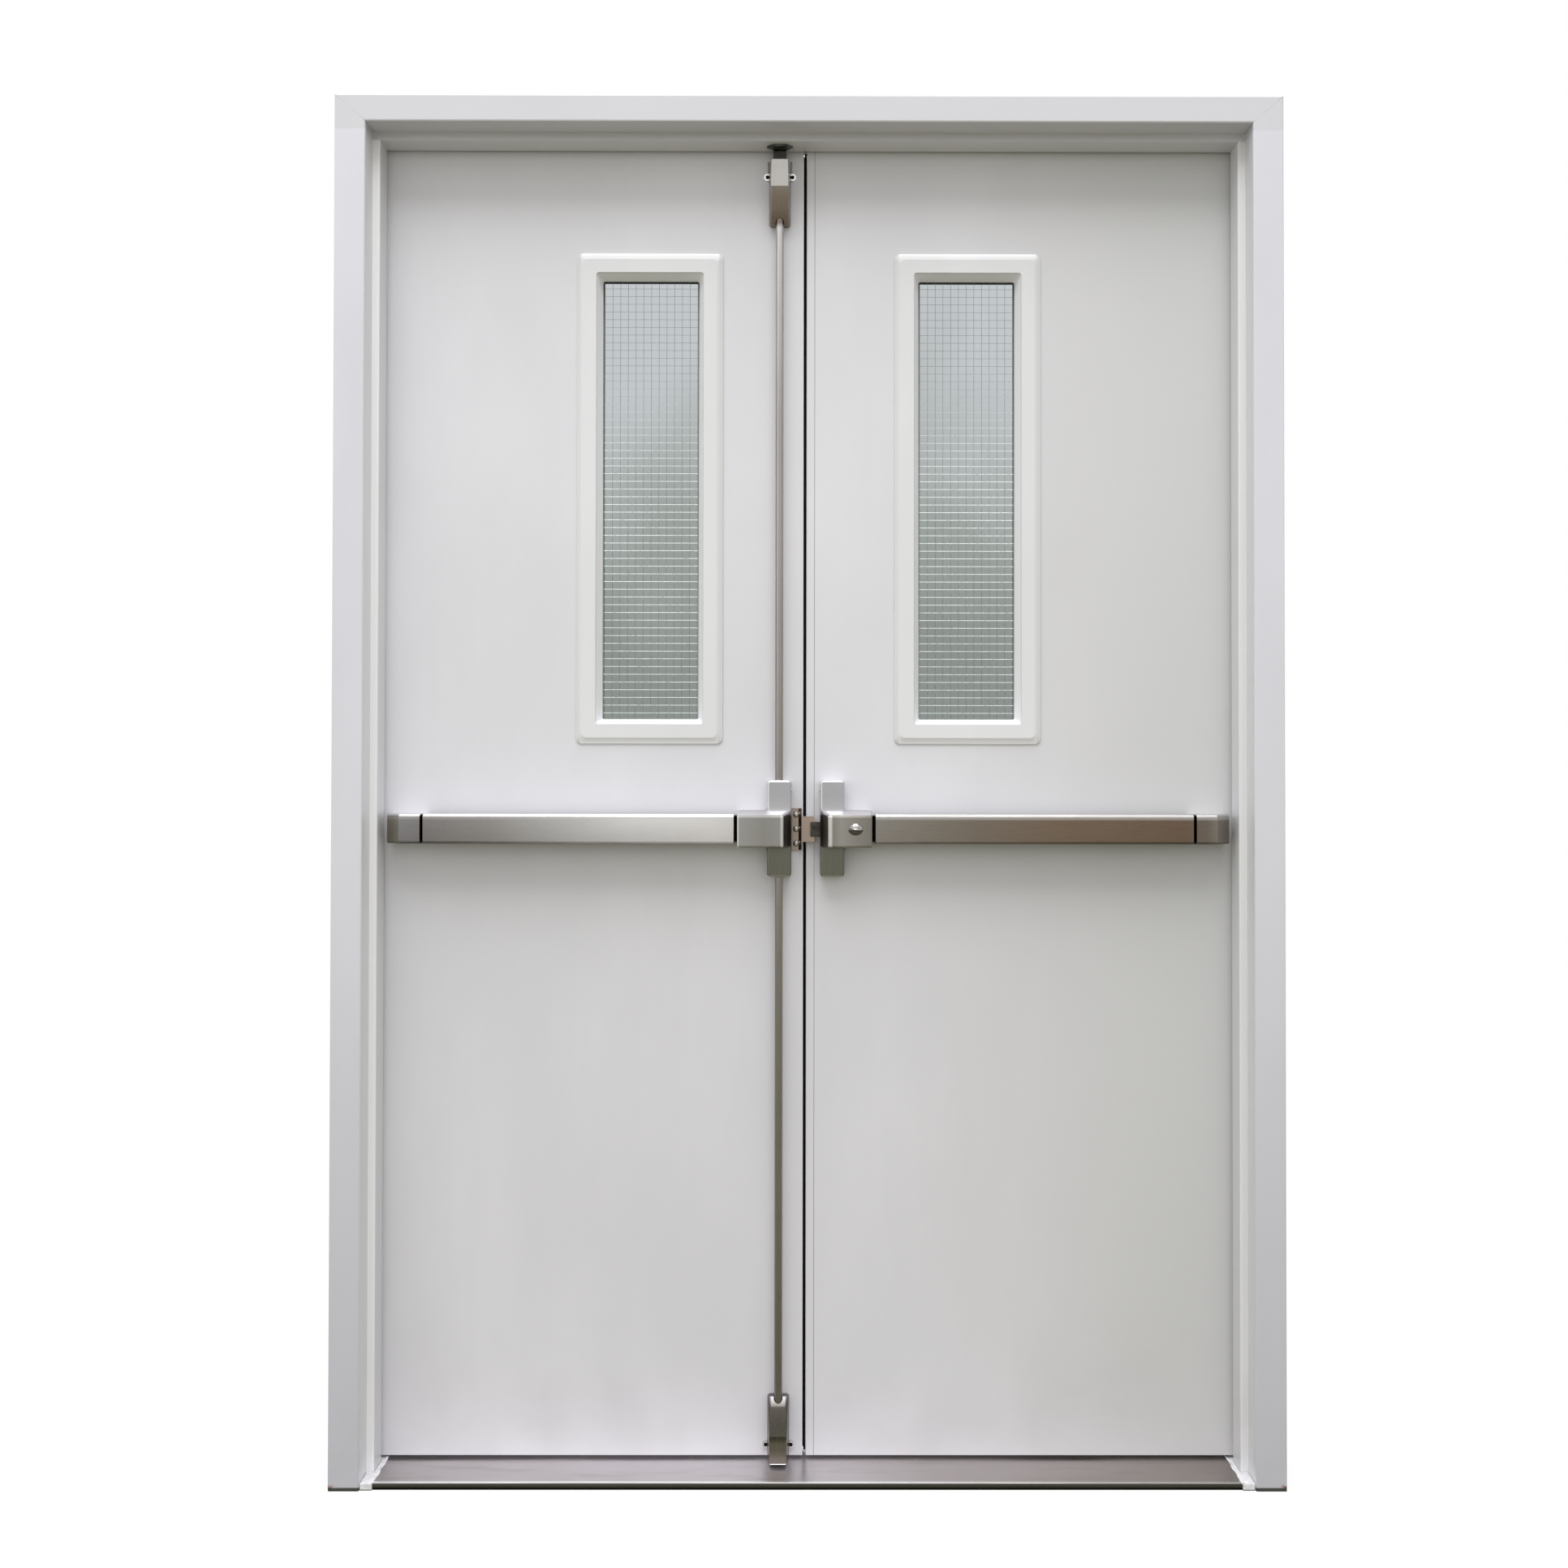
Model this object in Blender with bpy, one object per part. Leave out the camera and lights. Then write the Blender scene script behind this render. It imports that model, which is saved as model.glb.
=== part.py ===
"""Double hollow metal fire door in a pressed steel frame, with touch bar exit devices.

Metres, +Z up. X = 0 is the middle of the frame, Y = 0 the middle of its depth and Z = 0 the floor.
The push side faces -Y, and both leaves swing away towards +Y.
"""

import math

import bmesh
import bpy
from mathutils import Matrix, Vector

# Clearances
SEAT = 0.0003  # between two pieces that touch
CLEAR = 0.005  # round each leaf
RUN = 0.0006  # a piece that slides or turns on another

# Frame
OPENING_W = 1.400
OPENING_H = 2.147
FACE_W = 0.0485
HEAD_FACE_W = 0.043
SHEET = 0.0015
BEND_R = 0.0018
FRONT_RABBET = 0.048
SOFFIT = 0.0475
BACK_RABBET = 0.049
STOP_H = 0.012
BACKBEND = 0.013

# Threshold and the filler at its ends
SILL_H = 0.011
SILL_SETBACK = 0.006
SILL_END_GAP = 0.008
SILL_ROUND = 0.002
FILLER_SETBACK = 0.003
FILLER_ROUND = 0.0015

# Leaves
LEAF_T = 0.044
LEAF_SKIN = 0.0015
LEAF_ROUND = 0.001
END_CHANNEL = 0.012
MEETING_X = -0.006
MEETING_GAP = 0.005
EDGE_LEG = 0.013
EDGE_SHEET = 0.0012
EDGE_BEND_R = 0.0015

# Vision lite in each leaf, placed by its distance from the device and from the leaf's top
LITE_X = 0.259
LITE_W = 0.157
LITE_ABOVE_DEVICE = 0.137
LITE_BELOW_TOP = 0.1735
LITE_REVEAL = 0.009
LITE_FLAT = 0.0215
LITE_BEVEL = 0.010
LITE_PROUD = 0.0065
LITE_SKIRT = 0.0015
LITE_LIP = 0.006
LITE_SHEET = 0.0012
LITE_INNER_R = 0.003
LITE_OUTER_R = 0.009
GLASS_T = 0.0065
GLASS_BITE = 0.0055

# Butt hinges
HINGE_L = 0.1143
HINGE_FROM_END = 0.284
KNUCKLES = 5
KNUCKLE_R = 0.0065
KNUCKLE_GAP = 0.0005
PIN_R = 0.0032
PIN_HEAD_R = 0.0056
PIN_HEAD_H = 0.004
HINGE_PLATE_T = 0.002
HINGE_PLATE_W = 0.040
HINGE_STANDOFF = 0.001
HINGE_SWEEP = 0.0012

# Touch bar exit devices; depths are measured from the face of the leaf
DEVICE_Z = 1.031
TRAVEL = 0.014
BAR_H = 0.047
BAR_DEPTH = 0.065
BAR_STOP_GAP = 0.007
BAR_T = 0.002
BAR_BEVEL = 0.0035
RAIL_T = 0.002
CAP_STOP_GAP = 0.011
CAP_L = 0.026
CAP_TIP_DEPTH = 0.036
COVER_L = 0.033
CASE_NEAR_L = 0.0215
CASE_NEAR_R = 0.025
CASE_FAR = 0.108
CASE_H = 0.059
CASE_DEPTH = 0.067
CASE_CHAMFER_W = 0.014
CASE_CHAMFER_D = 0.022
CASE_SLOPE_H = 0.008
CASE_SLOPE_D = 0.018
CASE_BEVEL = 0.003
CASE_WALL = 0.0025
CASE_FILLET = 0.0075
STEM_W = 0.039
STEM_H = 0.156
STEM_DEPTH = 0.034
STEM_BEVEL = 0.003
STEM_CORNER = 0.005

# Vertical rods and their latches
ROD_R = 0.00635
ROD_U = 0.0415
ROD_DEPTH = 0.016
ROD_IN_CASE = 0.020
ROD_CLEAR = 0.0009
BOLT_W = 0.021
BOLT_T = 0.014
BOLT_L = 0.066
BOLT_ROUND = 0.002
LATCH_W = 0.0355
LATCH_TAPER = 0.78
LATCH_DEPTH = 0.040
LATCH_L = 0.100
LATCH_SQUARE = 0.045
LATCH_NOSE = 0.027
LATCH_END_L = 0.013
LATCH_END_DROP = 0.012
LATCH_END_R = 0.020
LATCH_CORNER = 0.005
LATCH_BEVEL = 0.0018
LATCH_BELOW_TOP = 0.030
LATCH_BASE_W = 0.040
LATCH_BASE_T = 0.003
LATCH_BASE_OVER = 0.007
LATCH_BASE_UNDER = 0.010
EAR_R = 0.006
EAR_T = 0.003
EAR_OFFSET = 0.0204
EAR_FROM_END = 0.018
SILL_PLAY = 0.005
STRIKE_W = 0.042
STRIKE_NOSE_W = 0.021
STRIKE_T = 0.003
STRIKE_FRONT = 0.012
STRIKE_HALF_D = 0.0105
STRIKE_LUG_T = 0.003
STRIKE_LUG_H = 0.0095
BOLT_ENGAGE = 0.006
SILL_POCKET_DEPTH = 0.008

# Rim latch, its strike on the other leaf, and the thumb turn
LATCH_DROP = 0.0015
RIM_BOLT_H = 0.0238
RIM_BOLT_T = 0.0165
RIM_BOLT_THROW = 0.0155
RIM_BOLT_TAIL = 0.046
KEEPER_H = 0.0675
KEEPER_T = 0.0025
KEEPER_NEAR = 0.0045
LIP_H = 0.0415
LIP_REACH = 0.016
LIP_STEP = 0.005
TURN_U = 0.081
TURN_W = 0.0235
TURN_H = 0.0195
TURN_DOME = 0.006
TURN_WING_H = 0.006
TURN_PROUD = 0.013
TURN_TILT = 8
TURN_SHAFT_R = 0.004

# Places that follow from the sizes above
FRAME_DEPTH = FRONT_RABBET + SOFFIT + BACK_RABBET
FRONT_Y = -FRAME_DEPTH / 2
BACK_Y = FRAME_DEPTH / 2
STOP_FRONT_Y = FRONT_Y + FRONT_RABBET
STOP_BACK_Y = BACK_Y - BACK_RABBET
RABBET_X = OPENING_W / 2
STOP_X = RABBET_X - STOP_H
LEAF_Y = STOP_BACK_Y + CLEAR
LEAF_BACK = LEAF_Y + LEAF_T
LEAF_BOTTOM = SILL_H + CLEAR
LEAF_TOP = OPENING_H - CLEAR
LEAF_EDGE_X = RABBET_X - CLEAR
GLASS_Y = (LEAF_Y + LEAF_BACK) / 2
LITE_OUTER = LITE_REVEAL + LITE_FLAT + LITE_BEVEL
LITE_LOW = DEVICE_Z + LITE_ABOVE_DEVICE + LITE_OUTER
LITE_HIGH = LEAF_TOP - LITE_BELOW_TOP - LITE_OUTER
LITE_Z = (LITE_LOW + LITE_HIGH) / 2
LITE_H = LITE_HIGH - LITE_LOW
HINGE_X = RABBET_X - CLEAR / 2
HINGE_Y = max(LEAF_BACK, BACK_Y) + HINGE_STANDOFF + KNUCKLE_R
HINGE_ZS = (
    LEAF_BOTTOM + HINGE_FROM_END,
    (LEAF_BOTTOM + LEAF_TOP) / 2,
    LEAF_TOP - HINGE_FROM_END,
)
BAR_NEAR = CASE_FAR + CLEAR
BAR_LEG_BACK = TRAVEL + BAR_STOP_GAP
RAIL_DEPTH = BAR_DEPTH - BAR_T - TRAVEL - CLEAR
CAP_END_X = STOP_X - CAP_STOP_GAP
COVER_END_X = CAP_END_X - CAP_L - SEAT
BAR_END_X = COVER_END_X - COVER_L - CLEAR
RAIL_H = BAR_H - 2 * BAR_T - 2 * RUN
TOP_LATCH_Z = LEAF_TOP - LATCH_BELOW_TOP
BOTTOM_LATCH_Z = SILL_H + SILL_PLAY
ROD_X = MEETING_X - ROD_U
ROD_Y = LEAF_Y - ROD_DEPTH
SOFFIT_Z = OPENING_H - STOP_H
LATCH_Z = DEVICE_Z - LATCH_DROP
RIM_BOLT_TIP = CASE_NEAR_R - RIM_BOLT_THROW

LEFT, RIGHT = -1, 1
SIDE_NAMES = {LEFT: "left", RIGHT: "right"}
CASE_NEAR = {LEFT: CASE_NEAR_L, RIGHT: CASE_NEAR_R}

FINISHES = {
    "frame_paint": ((0.66, 0.66, 0.68), 0.45, 0.0),
    "leaf_paint": ((0.72, 0.71, 0.70), 0.45, 0.0),
    "brushed_stainless": ((0.55, 0.54, 0.52), 0.32, 1.0),
    "polished_stainless": ((0.62, 0.61, 0.59), 0.2, 1.0),
    "dark_steel": ((0.05, 0.05, 0.045), 0.4, 0.8),
    "sill_steel": ((0.55, 0.53, 0.51), 0.3, 1.0),
    "white_filler": ((0.8, 0.8, 0.8), 0.7, 0.0),
    "wired_glass": ((0.55, 0.6, 0.58), 0.1, 0.0),
}


def clear_scene():
    for obj in list(bpy.data.objects):
        bpy.data.objects.remove(obj, do_unlink=True)


def new_collection(name):
    collection = bpy.data.collections.new(name)
    bpy.context.scene.collection.children.link(collection)
    return collection


clear_scene()
DOOR = new_collection("hollow_metal_fire_door")
CUTTERS = new_collection("cutters")


def finish(name):
    """The Principled material of one finish."""
    found = bpy.data.materials.get(name)
    if found:
        return found
    color, roughness, metallic = FINISHES[name]
    made = bpy.data.materials.new(name)
    made.use_nodes = True
    shader = made.node_tree.nodes["Principled BSDF"]
    shader.inputs["Base Color"].default_value = (*color, 1.0)
    shader.inputs["Roughness"].default_value = roughness
    shader.inputs["Metallic"].default_value = metallic
    return made


def pivot(name, place, parent=None):
    """An empty on a joint's axis, which carries the pieces of one moving body."""
    empty = bpy.data.objects.new(name, None)
    empty.location = Vector(place) - (world_place(parent) if parent else Vector())
    empty.parent = parent
    DOOR.objects.link(empty)
    return empty


def world_place(obj):
    """Where an unturned empty stands, counted through its parents."""
    place = obj.location.copy()
    return place + world_place(obj.parent) if obj.parent else place


def piece(name, bm, material, carrier=None):
    """A solid modelled in place, hung on the empty that carries it."""
    bmesh.ops.recalc_face_normals(bm, faces=bm.faces)
    mesh = bpy.data.meshes.new(name)
    bm.to_mesh(mesh)
    bm.free()
    mesh.materials.append(finish(material))
    obj = bpy.data.objects.new(name, mesh)
    if carrier:
        mesh.transform(Matrix.Translation(-world_place(carrier)))
        obj.parent = carrier
    DOOR.objects.link(obj)
    return obj


def smooth(obj):
    obj.data.shade_smooth()
    obj.data.set_sharp_from_angle(angle=math.radians(30))
    return obj


def tool(name, bm, carrier=None):
    """A shape that cuts or joins, kept out of the model itself."""
    obj = piece(name, bm, "dark_steel", carrier)
    DOOR.objects.unlink(obj)
    CUTTERS.objects.link(obj)
    obj.hide_render = True
    obj.display_type = "WIRE"
    return obj


def combine(obj, operation, other):
    modifier = obj.modifiers.new(other.name, "BOOLEAN")
    modifier.operation = operation
    modifier.object = other
    modifier.solver = "EXACT"
    return obj


def add_box(bm, a, b):
    """A box between two opposite corners, given in any order."""
    low = Vector(map(min, a, b))
    high = Vector(map(max, a, b))
    made = bmesh.ops.create_cube(bm, size=1)["verts"]
    bmesh.ops.scale(bm, vec=high - low, verts=made)
    bmesh.ops.translate(bm, vec=(low + high) / 2, verts=made)
    return made


def box(a, b):
    bm = bmesh.new()
    add_box(bm, a, b)
    return bm


def add_rod(bm, start, end, radius, sides=20):
    """A cylinder from one point to another."""
    start, end = Vector(start), Vector(end)
    turn = (end - start).to_track_quat("Z", "Y").to_matrix().to_4x4()
    place = Matrix.Translation((start + end) / 2) @ turn
    bmesh.ops.create_cone(
        bm, cap_ends=True, segments=sides, radius1=radius, radius2=radius,
        depth=(end - start).length, matrix=place,
    )


def rod(start, end, radius, sides=20):
    bm = bmesh.new()
    add_rod(bm, start, end, radius, sides)
    return bm


def sweep(bm, outline, start, end):
    """A flat outline extruded from start to end, which place each of its points."""
    low = [bm.verts.new(start(*point)) for point in outline]
    face = bm.faces.new(low)
    extruded = bmesh.ops.extrude_face_region(bm, geom=[face])["geom"]
    high = [v for v in extruded if isinstance(v, bmesh.types.BMVert)]
    for vert in high:
        nearest = min(range(len(low)), key=lambda i: (low[i].co - vert.co).length)
        vert.co = end(*outline[nearest])
    return low + high


def prism(outline, start, end):
    bm = bmesh.new()
    sweep(bm, outline, start, end)
    return bm


def bevel_where(bm, chosen, width, segments=2):
    """Rounds the edges whose middle passes the test."""
    bmesh.ops.recalc_face_normals(bm, faces=bm.faces)
    edges = [e for e in bm.edges if chosen((e.verts[0].co + e.verts[1].co) / 2, e)]
    bmesh.ops.bevel(
        bm, geom=edges, offset=width, segments=segments, profile=0.5,
        affect="EDGES", material=-1,
    )


def runs_along(edge, axis):
    """Whether an edge is parallel to an axis, given by its number."""
    return abs((edge.verts[1].co - edge.verts[0].co).normalized()[axis]) > 0.99


def cut_away(bm, point, normal):
    """Removes what lies beyond a plane and closes the cut."""
    bmesh.ops.bisect_plane(
        bm, geom=bm.verts[:] + bm.edges[:] + bm.faces[:],
        plane_co=point, plane_no=normal, clear_outer=True,
    )
    bmesh.ops.holes_fill(bm, edges=[e for e in bm.edges if e.is_boundary], sides=0)


def offset_path(path, distance):
    """The path moved to its left, with mitred corners."""
    moved = []
    for i, point in enumerate(path):
        here = Vector(point)
        back = (here - Vector(path[i - 1])).normalized() if i else None
        ahead = (Vector(path[i + 1]) - here).normalized() if i + 1 < len(path) else None
        back, ahead = back or ahead, ahead or back
        normals = Vector((-back.y, back.x)) + Vector((-ahead.y, ahead.x))
        normal = normals.normalized()
        reach = distance / normal.dot(Vector((-back.y, back.x)))
        moved.append(tuple(here + normal * reach))
    return moved


def rounded_path(path, radius, steps=3):
    """The path with each of its corners turned on an arc."""
    made = [tuple(path[0])]
    for before, corner, after in zip(path, path[1:], path[2:]):
        corner = Vector(corner)
        back = (Vector(before) - corner).normalized()
        ahead = (Vector(after) - corner).normalized()
        half = back.angle(ahead) / 2
        centre = corner + (back + ahead).normalized() * radius / math.sin(half)
        first = corner + back * radius / math.tan(half) - centre
        last = corner + ahead * radius / math.tan(half) - centre
        turn = math.atan2(first.x * last.y - first.y * last.x, first.dot(last))
        for step in range(steps + 1):
            angle = turn * step / steps
            cos, sin = math.cos(angle), math.sin(angle)
            spoke = Vector((first.x * cos - first.y * sin, first.x * sin + first.y * cos))
            made.append(tuple(centre + spoke))
    made.append(tuple(path[-1]))
    return made


def ribbon(path, thickness):
    """The closed outline of a bent sheet whose middle follows the path."""
    return offset_path(path, thickness / 2) + offset_path(path, -thickness / 2)[::-1]


def frame_profile(face_w):
    """The folded sheet of jamb or head: distance past the rabbet into the opening, and depth."""
    visible = [
        (-face_w, FRONT_Y + BACKBEND),
        (-face_w, FRONT_Y),
        (0, FRONT_Y),
        (0, STOP_FRONT_Y),
        (STOP_H, STOP_FRONT_Y),
        (STOP_H, STOP_BACK_Y),
        (0, STOP_BACK_Y),
        (0, BACK_Y),
        (-face_w, BACK_Y),
        (-face_w, BACK_Y - BACKBEND),
    ]
    middle = offset_path(visible, SHEET / 2)
    return ribbon(rounded_path(middle, BEND_R, 2), SHEET)


def across_mitre(w, own_face, other_face):
    """Where a point of one member's profile lies on the profile of the member it meets."""
    return w + own_face - other_face if w < -own_face / 2 else w


def make_frame():
    mitre = SEAT / math.sqrt(2)

    def jamb_top(w):
        return OPENING_H - across_mitre(w, FACE_W, HEAD_FACE_W) - mitre

    def head_end(w):
        return RABBET_X - across_mitre(w, HEAD_FACE_W, FACE_W) - mitre

    for side in (LEFT, RIGHT):
        bm = prism(
            frame_profile(FACE_W),
            lambda w, y: (side * (RABBET_X - w), y, 0),
            lambda w, y: (side * (RABBET_X - w), y, jamb_top(w)),
        )
        piece(f"{SIDE_NAMES[side]}_jamb", bm, "frame_paint")
    bm = prism(
        frame_profile(HEAD_FACE_W),
        lambda w, y: (-head_end(w), y, OPENING_H - w),
        lambda w, y: (head_end(w), y, OPENING_H - w),
    )
    piece("head", bm, "frame_paint")


def bolt_box(grow, low, high):
    """The bounds of a vertical bolt, grown sideways by a clearance."""
    half_w, half_t = BOLT_W / 2 + grow, BOLT_T / 2 + grow
    return (ROD_X - half_w, ROD_Y - half_t, low), (ROD_X + half_w, ROD_Y + half_t, high)


def make_sill():
    sill_x = STOP_X - SILL_END_GAP
    front = FRONT_Y + SILL_SETBACK
    bm = box((-sill_x, front, 0), (sill_x, BACK_Y, SILL_H))
    bevel_where(
        bm,
        lambda mid, edge: mid.z > SILL_H / 2 and abs(mid.x) < SEAT,
        SILL_ROUND, 3,
    )
    sill = piece("threshold", bm, "sill_steel")
    pocket = box(*bolt_box(2 * ROD_CLEAR, SILL_H - SILL_POCKET_DEPTH, SILL_H + CLEAR))
    combine(sill, "DIFFERENCE", tool("sill_pocket", pocket))
    outline = [
        (RABBET_X - SEAT, FRONT_Y + FILLER_SETBACK),
        (sill_x + SEAT, FRONT_Y + FILLER_SETBACK),
        (sill_x + SEAT, BACK_Y),
        (RABBET_X - SEAT, BACK_Y),
        (RABBET_X - SEAT, STOP_BACK_Y + SEAT + BEND_R),
        (RABBET_X - SEAT - BEND_R, STOP_BACK_Y + SEAT),
        (STOP_X - SEAT, STOP_BACK_Y + SEAT),
        (STOP_X - SEAT, STOP_FRONT_Y - SEAT),
        (RABBET_X - SEAT - BEND_R, STOP_FRONT_Y - SEAT),
        (RABBET_X - SEAT, STOP_FRONT_Y - SEAT - BEND_R),
    ]
    for side in (LEFT, RIGHT):
        bm = prism(outline, lambda x, y: (side * x, y, 0), lambda x, y: (side * x, y, SILL_H))
        bevel_where(
            bm,
            lambda mid, edge: mid.z > SILL_H - SEAT or (
                mid.y < FRONT_Y + FILLER_SETBACK + SEAT and mid.z > SEAT
            ),
            FILLER_ROUND,
        )
        piece(f"{SIDE_NAMES[side]}_sill_filler", bm, "white_filler")


def make_head_strike():
    """A six-sided plate under the soffit; its tongue ends in the lug that stops the bolt."""
    top = SOFFIT_Z - SEAT
    half, nose, tongue = STRIKE_W / 2, STRIKE_NOSE_W / 2, BOLT_W / 2
    lug_front = ROD_Y + BOLT_T / 2 + RUN
    lug_back = lug_front + STRIKE_LUG_T
    right = [
        (nose, -STRIKE_FRONT),
        (half, STRIKE_HALF_D - STRIKE_FRONT),
        (tongue, 2 * STRIKE_HALF_D - STRIKE_FRONT),
        (tongue, lug_back),
    ]
    outline = right + [(-x, y) for x, y in reversed(right)]
    bm = prism(
        outline,
        lambda x, y: (ROD_X + x, y, top - STRIKE_T),
        lambda x, y: (ROD_X + x, y, top),
    )
    strike = piece("head_strike", bm, "dark_steel")
    lug = box(
        (ROD_X - tongue, lug_front, top - STRIKE_LUG_H),
        (ROD_X + tongue, lug_back, top - STRIKE_T / 2),
    )
    combine(strike, "UNION", tool("strike_lug", lug))


def knuckle_spans(parity, grow=0.0):
    """The heights of every second knuckle, from the middle of the hinge."""
    step = HINGE_L / KNUCKLES
    spans = []
    for i in range(KNUCKLES):
        if i % 2 != parity:
            continue
        low = i * step - HINGE_L / 2 + KNUCKLE_GAP / 2
        high = (i + 1) * step - HINGE_L / 2 - KNUCKLE_GAP / 2
        spans.append((low - grow, high + grow))
    return spans


def hinge_outline(near, far, reach):
    """A plate and its knuckle in one outline; near and far bound the plate, from the pin."""
    def at(x):
        return -math.sqrt(KNUCKLE_R**2 - x**2)

    start = math.atan2(at(far), far)
    end = math.atan2(at(near), near) + 2 * math.pi
    arc = [start + (end - start) * i / 16 for i in range(17)]
    knuckle = [(KNUCKLE_R * math.cos(a), KNUCKLE_R * math.sin(a)) for a in arc]
    return knuckle + [(near, -reach), (far, -reach)]


def make_hinge(side, number, z, leaf_pivot):
    """Both halves of one butt hinge. Distances in the outlines run from the pin towards the leaf."""
    name = f"{SIDE_NAMES[side]}_{number}"
    low, high = z - HINGE_L / 2 + KNUCKLE_GAP / 2, z + HINGE_L / 2 - KNUCKLE_GAP / 2
    reach = HINGE_Y - LEAF_BACK + HINGE_PLATE_W
    on_leaf = HINGE_X - LEAF_EDGE_X
    on_frame = RABBET_X - HINGE_X - SEAT

    def placed(toward):
        return lambda d, y, at: (side * (HINGE_X - toward * d), HINGE_Y + y, at)

    halves = (
        (f"leaf_hinge_{name}", 1, on_leaf, 0, leaf_pivot),
        (f"frame_hinge_{name}", -1, on_frame - HINGE_PLATE_T, 1, None),
    )
    for half, toward, near, other, carrier in halves:
        place = placed(toward)
        outline = hinge_outline(near, near + HINGE_PLATE_T, reach)
        bm = prism(outline, lambda d, y: place(d, y, low), lambda d, y: place(d, y, high))
        made = smooth(piece(half, bm, "polished_stainless", carrier))
        room = bmesh.new()
        clear_r = KNUCKLE_R + HINGE_SWEEP
        for a, b in knuckle_spans(other, KNUCKLE_GAP):
            add_box(room, place(-clear_r, -clear_r, z + a), place(clear_r, clear_r, z + b))
        combine(made, "DIFFERENCE", tool(f"{half}_room", room, carrier))
        pin_ends = (side * HINGE_X, HINGE_Y, low), (side * HINGE_X, HINGE_Y, high)
        if other:
            pin = rod(*pin_ends, PIN_R, 16)
            for end, away in zip(pin_ends, (-1, 1)):
                tip = Vector(end) + Vector((0, 0, away * PIN_HEAD_H))
                root = Vector(end) - Vector((0, 0, away * PIN_HEAD_H))
                add_rod(pin, root, tip, PIN_HEAD_R, 16)
            combine(made, "UNION", tool(f"{half}_pin", pin, carrier)).modifiers[-1].use_self = True
        else:
            bore = rod(
                Vector(pin_ends[0]) - Vector((0, 0, CLEAR)),
                Vector(pin_ends[1]) + Vector((0, 0, CLEAR)),
                PIN_R + KNUCKLE_GAP, 16,
            )
            combine(made, "DIFFERENCE", tool(f"{half}_bore", bore, carrier))


def make_leaf(side, carrier):
    """The slab, with its lite cut-out, recessed end channels and hinge mortises."""
    name = SIDE_NAMES[side]
    meeting_x = MEETING_X + side * MEETING_GAP / 2
    hinge_x = side * LEAF_EDGE_X
    wrap = EDGE_SHEET + SEAT
    outline = [(hinge_x, LEAF_Y), (hinge_x, LEAF_BACK)]
    if side == RIGHT:
        leg_x = meeting_x + EDGE_LEG + SEAT
        core_x = meeting_x + wrap
        outline += [
            (leg_x, LEAF_BACK), (leg_x, LEAF_BACK - wrap),
            (core_x + EDGE_BEND_R, LEAF_BACK - wrap), (core_x, LEAF_BACK - wrap - EDGE_BEND_R),
            (core_x, LEAF_Y + wrap + EDGE_BEND_R), (core_x + EDGE_BEND_R, LEAF_Y + wrap),
            (leg_x, LEAF_Y + wrap), (leg_x, LEAF_Y),
        ]
        channel = offset_path(
            [
                (meeting_x + EDGE_LEG, LEAF_Y), (meeting_x, LEAF_Y),
                (meeting_x, LEAF_BACK), (meeting_x + EDGE_LEG, LEAF_BACK),
            ],
            -EDGE_SHEET / 2,
        )
        bm = prism(
            ribbon(rounded_path(channel, EDGE_BEND_R, 3), EDGE_SHEET),
            lambda x, y: (x, y, LEAF_BOTTOM),
            lambda x, y: (x, y, LEAF_TOP),
        )
        piece("meeting_edge_channel", bm, "leaf_paint", carrier)
    else:
        outline += [(meeting_x, LEAF_BACK), (meeting_x, LEAF_Y)]
    bm = prism(outline, lambda x, y: (x, y, LEAF_BOTTOM), lambda x, y: (x, y, LEAF_TOP))
    ends = (hinge_x, meeting_x) if side == LEFT else (hinge_x,)
    bevel_where(
        bm,
        lambda mid, edge: runs_along(edge, 2) and min(abs(mid.x - x) for x in ends) < SEAT,
        LEAF_ROUND,
    )
    leaf = piece(f"{name}_leaf", bm, "leaf_paint", carrier)

    inside = LEAF_SKIN + (wrap if side == RIGHT else 0)
    ends = bmesh.new()
    for z, away in ((LEAF_BOTTOM, -1), (LEAF_TOP, 1)):
        add_box(
            ends,
            (hinge_x - side * LEAF_SKIN, LEAF_Y + inside, z - away * END_CHANNEL),
            (meeting_x + side * 2 * inside, LEAF_BACK - inside, z + away * CLEAR),
        )
    combine(leaf, "DIFFERENCE", tool(f"{name}_end_channels", ends, carrier))

    half_w = LITE_W / 2 + LITE_REVEAL + LITE_SHEET + SEAT
    half_h = LITE_H / 2 + LITE_REVEAL + LITE_SHEET + SEAT
    hole = box(
        (side * LITE_X - half_w, LEAF_Y - CLEAR, LITE_Z - half_h),
        (side * LITE_X + half_w, LEAF_BACK + CLEAR, LITE_Z + half_h),
    )
    combine(leaf, "DIFFERENCE", tool(f"{name}_lite_hole", hole, carrier))

    mortises = bmesh.new()
    depth = HINGE_PLATE_T + SEAT
    for z in HINGE_ZS:
        half = HINGE_L / 2 + SEAT
        add_box(
            mortises,
            (hinge_x - side * depth, LEAF_BACK - HINGE_PLATE_W - SEAT, z - half),
            (hinge_x + side * CLEAR, LEAF_BACK + CLEAR, z + half),
        )
    combine(leaf, "DIFFERENCE", tool(f"{name}_mortises", mortises, carrier))


def rounded_loop(bm, centre, half_w, half_h, radius, y, steps=3):
    """The points round a rectangle with round corners, in a plane of constant Y."""
    verts = []
    for corner in range(4):
        sign_x, sign_z = ((1, 1), (-1, 1), (-1, -1), (1, -1))[corner]
        for step in range(steps + 1):
            angle = math.pi / 2 * (corner + step / steps)
            x = centre[0] + sign_x * (half_w - radius) + radius * math.cos(angle)
            z = centre[1] + sign_z * (half_h - radius) + radius * math.sin(angle)
            verts.append(bm.verts.new((x, y, z)))
    return verts


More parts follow.
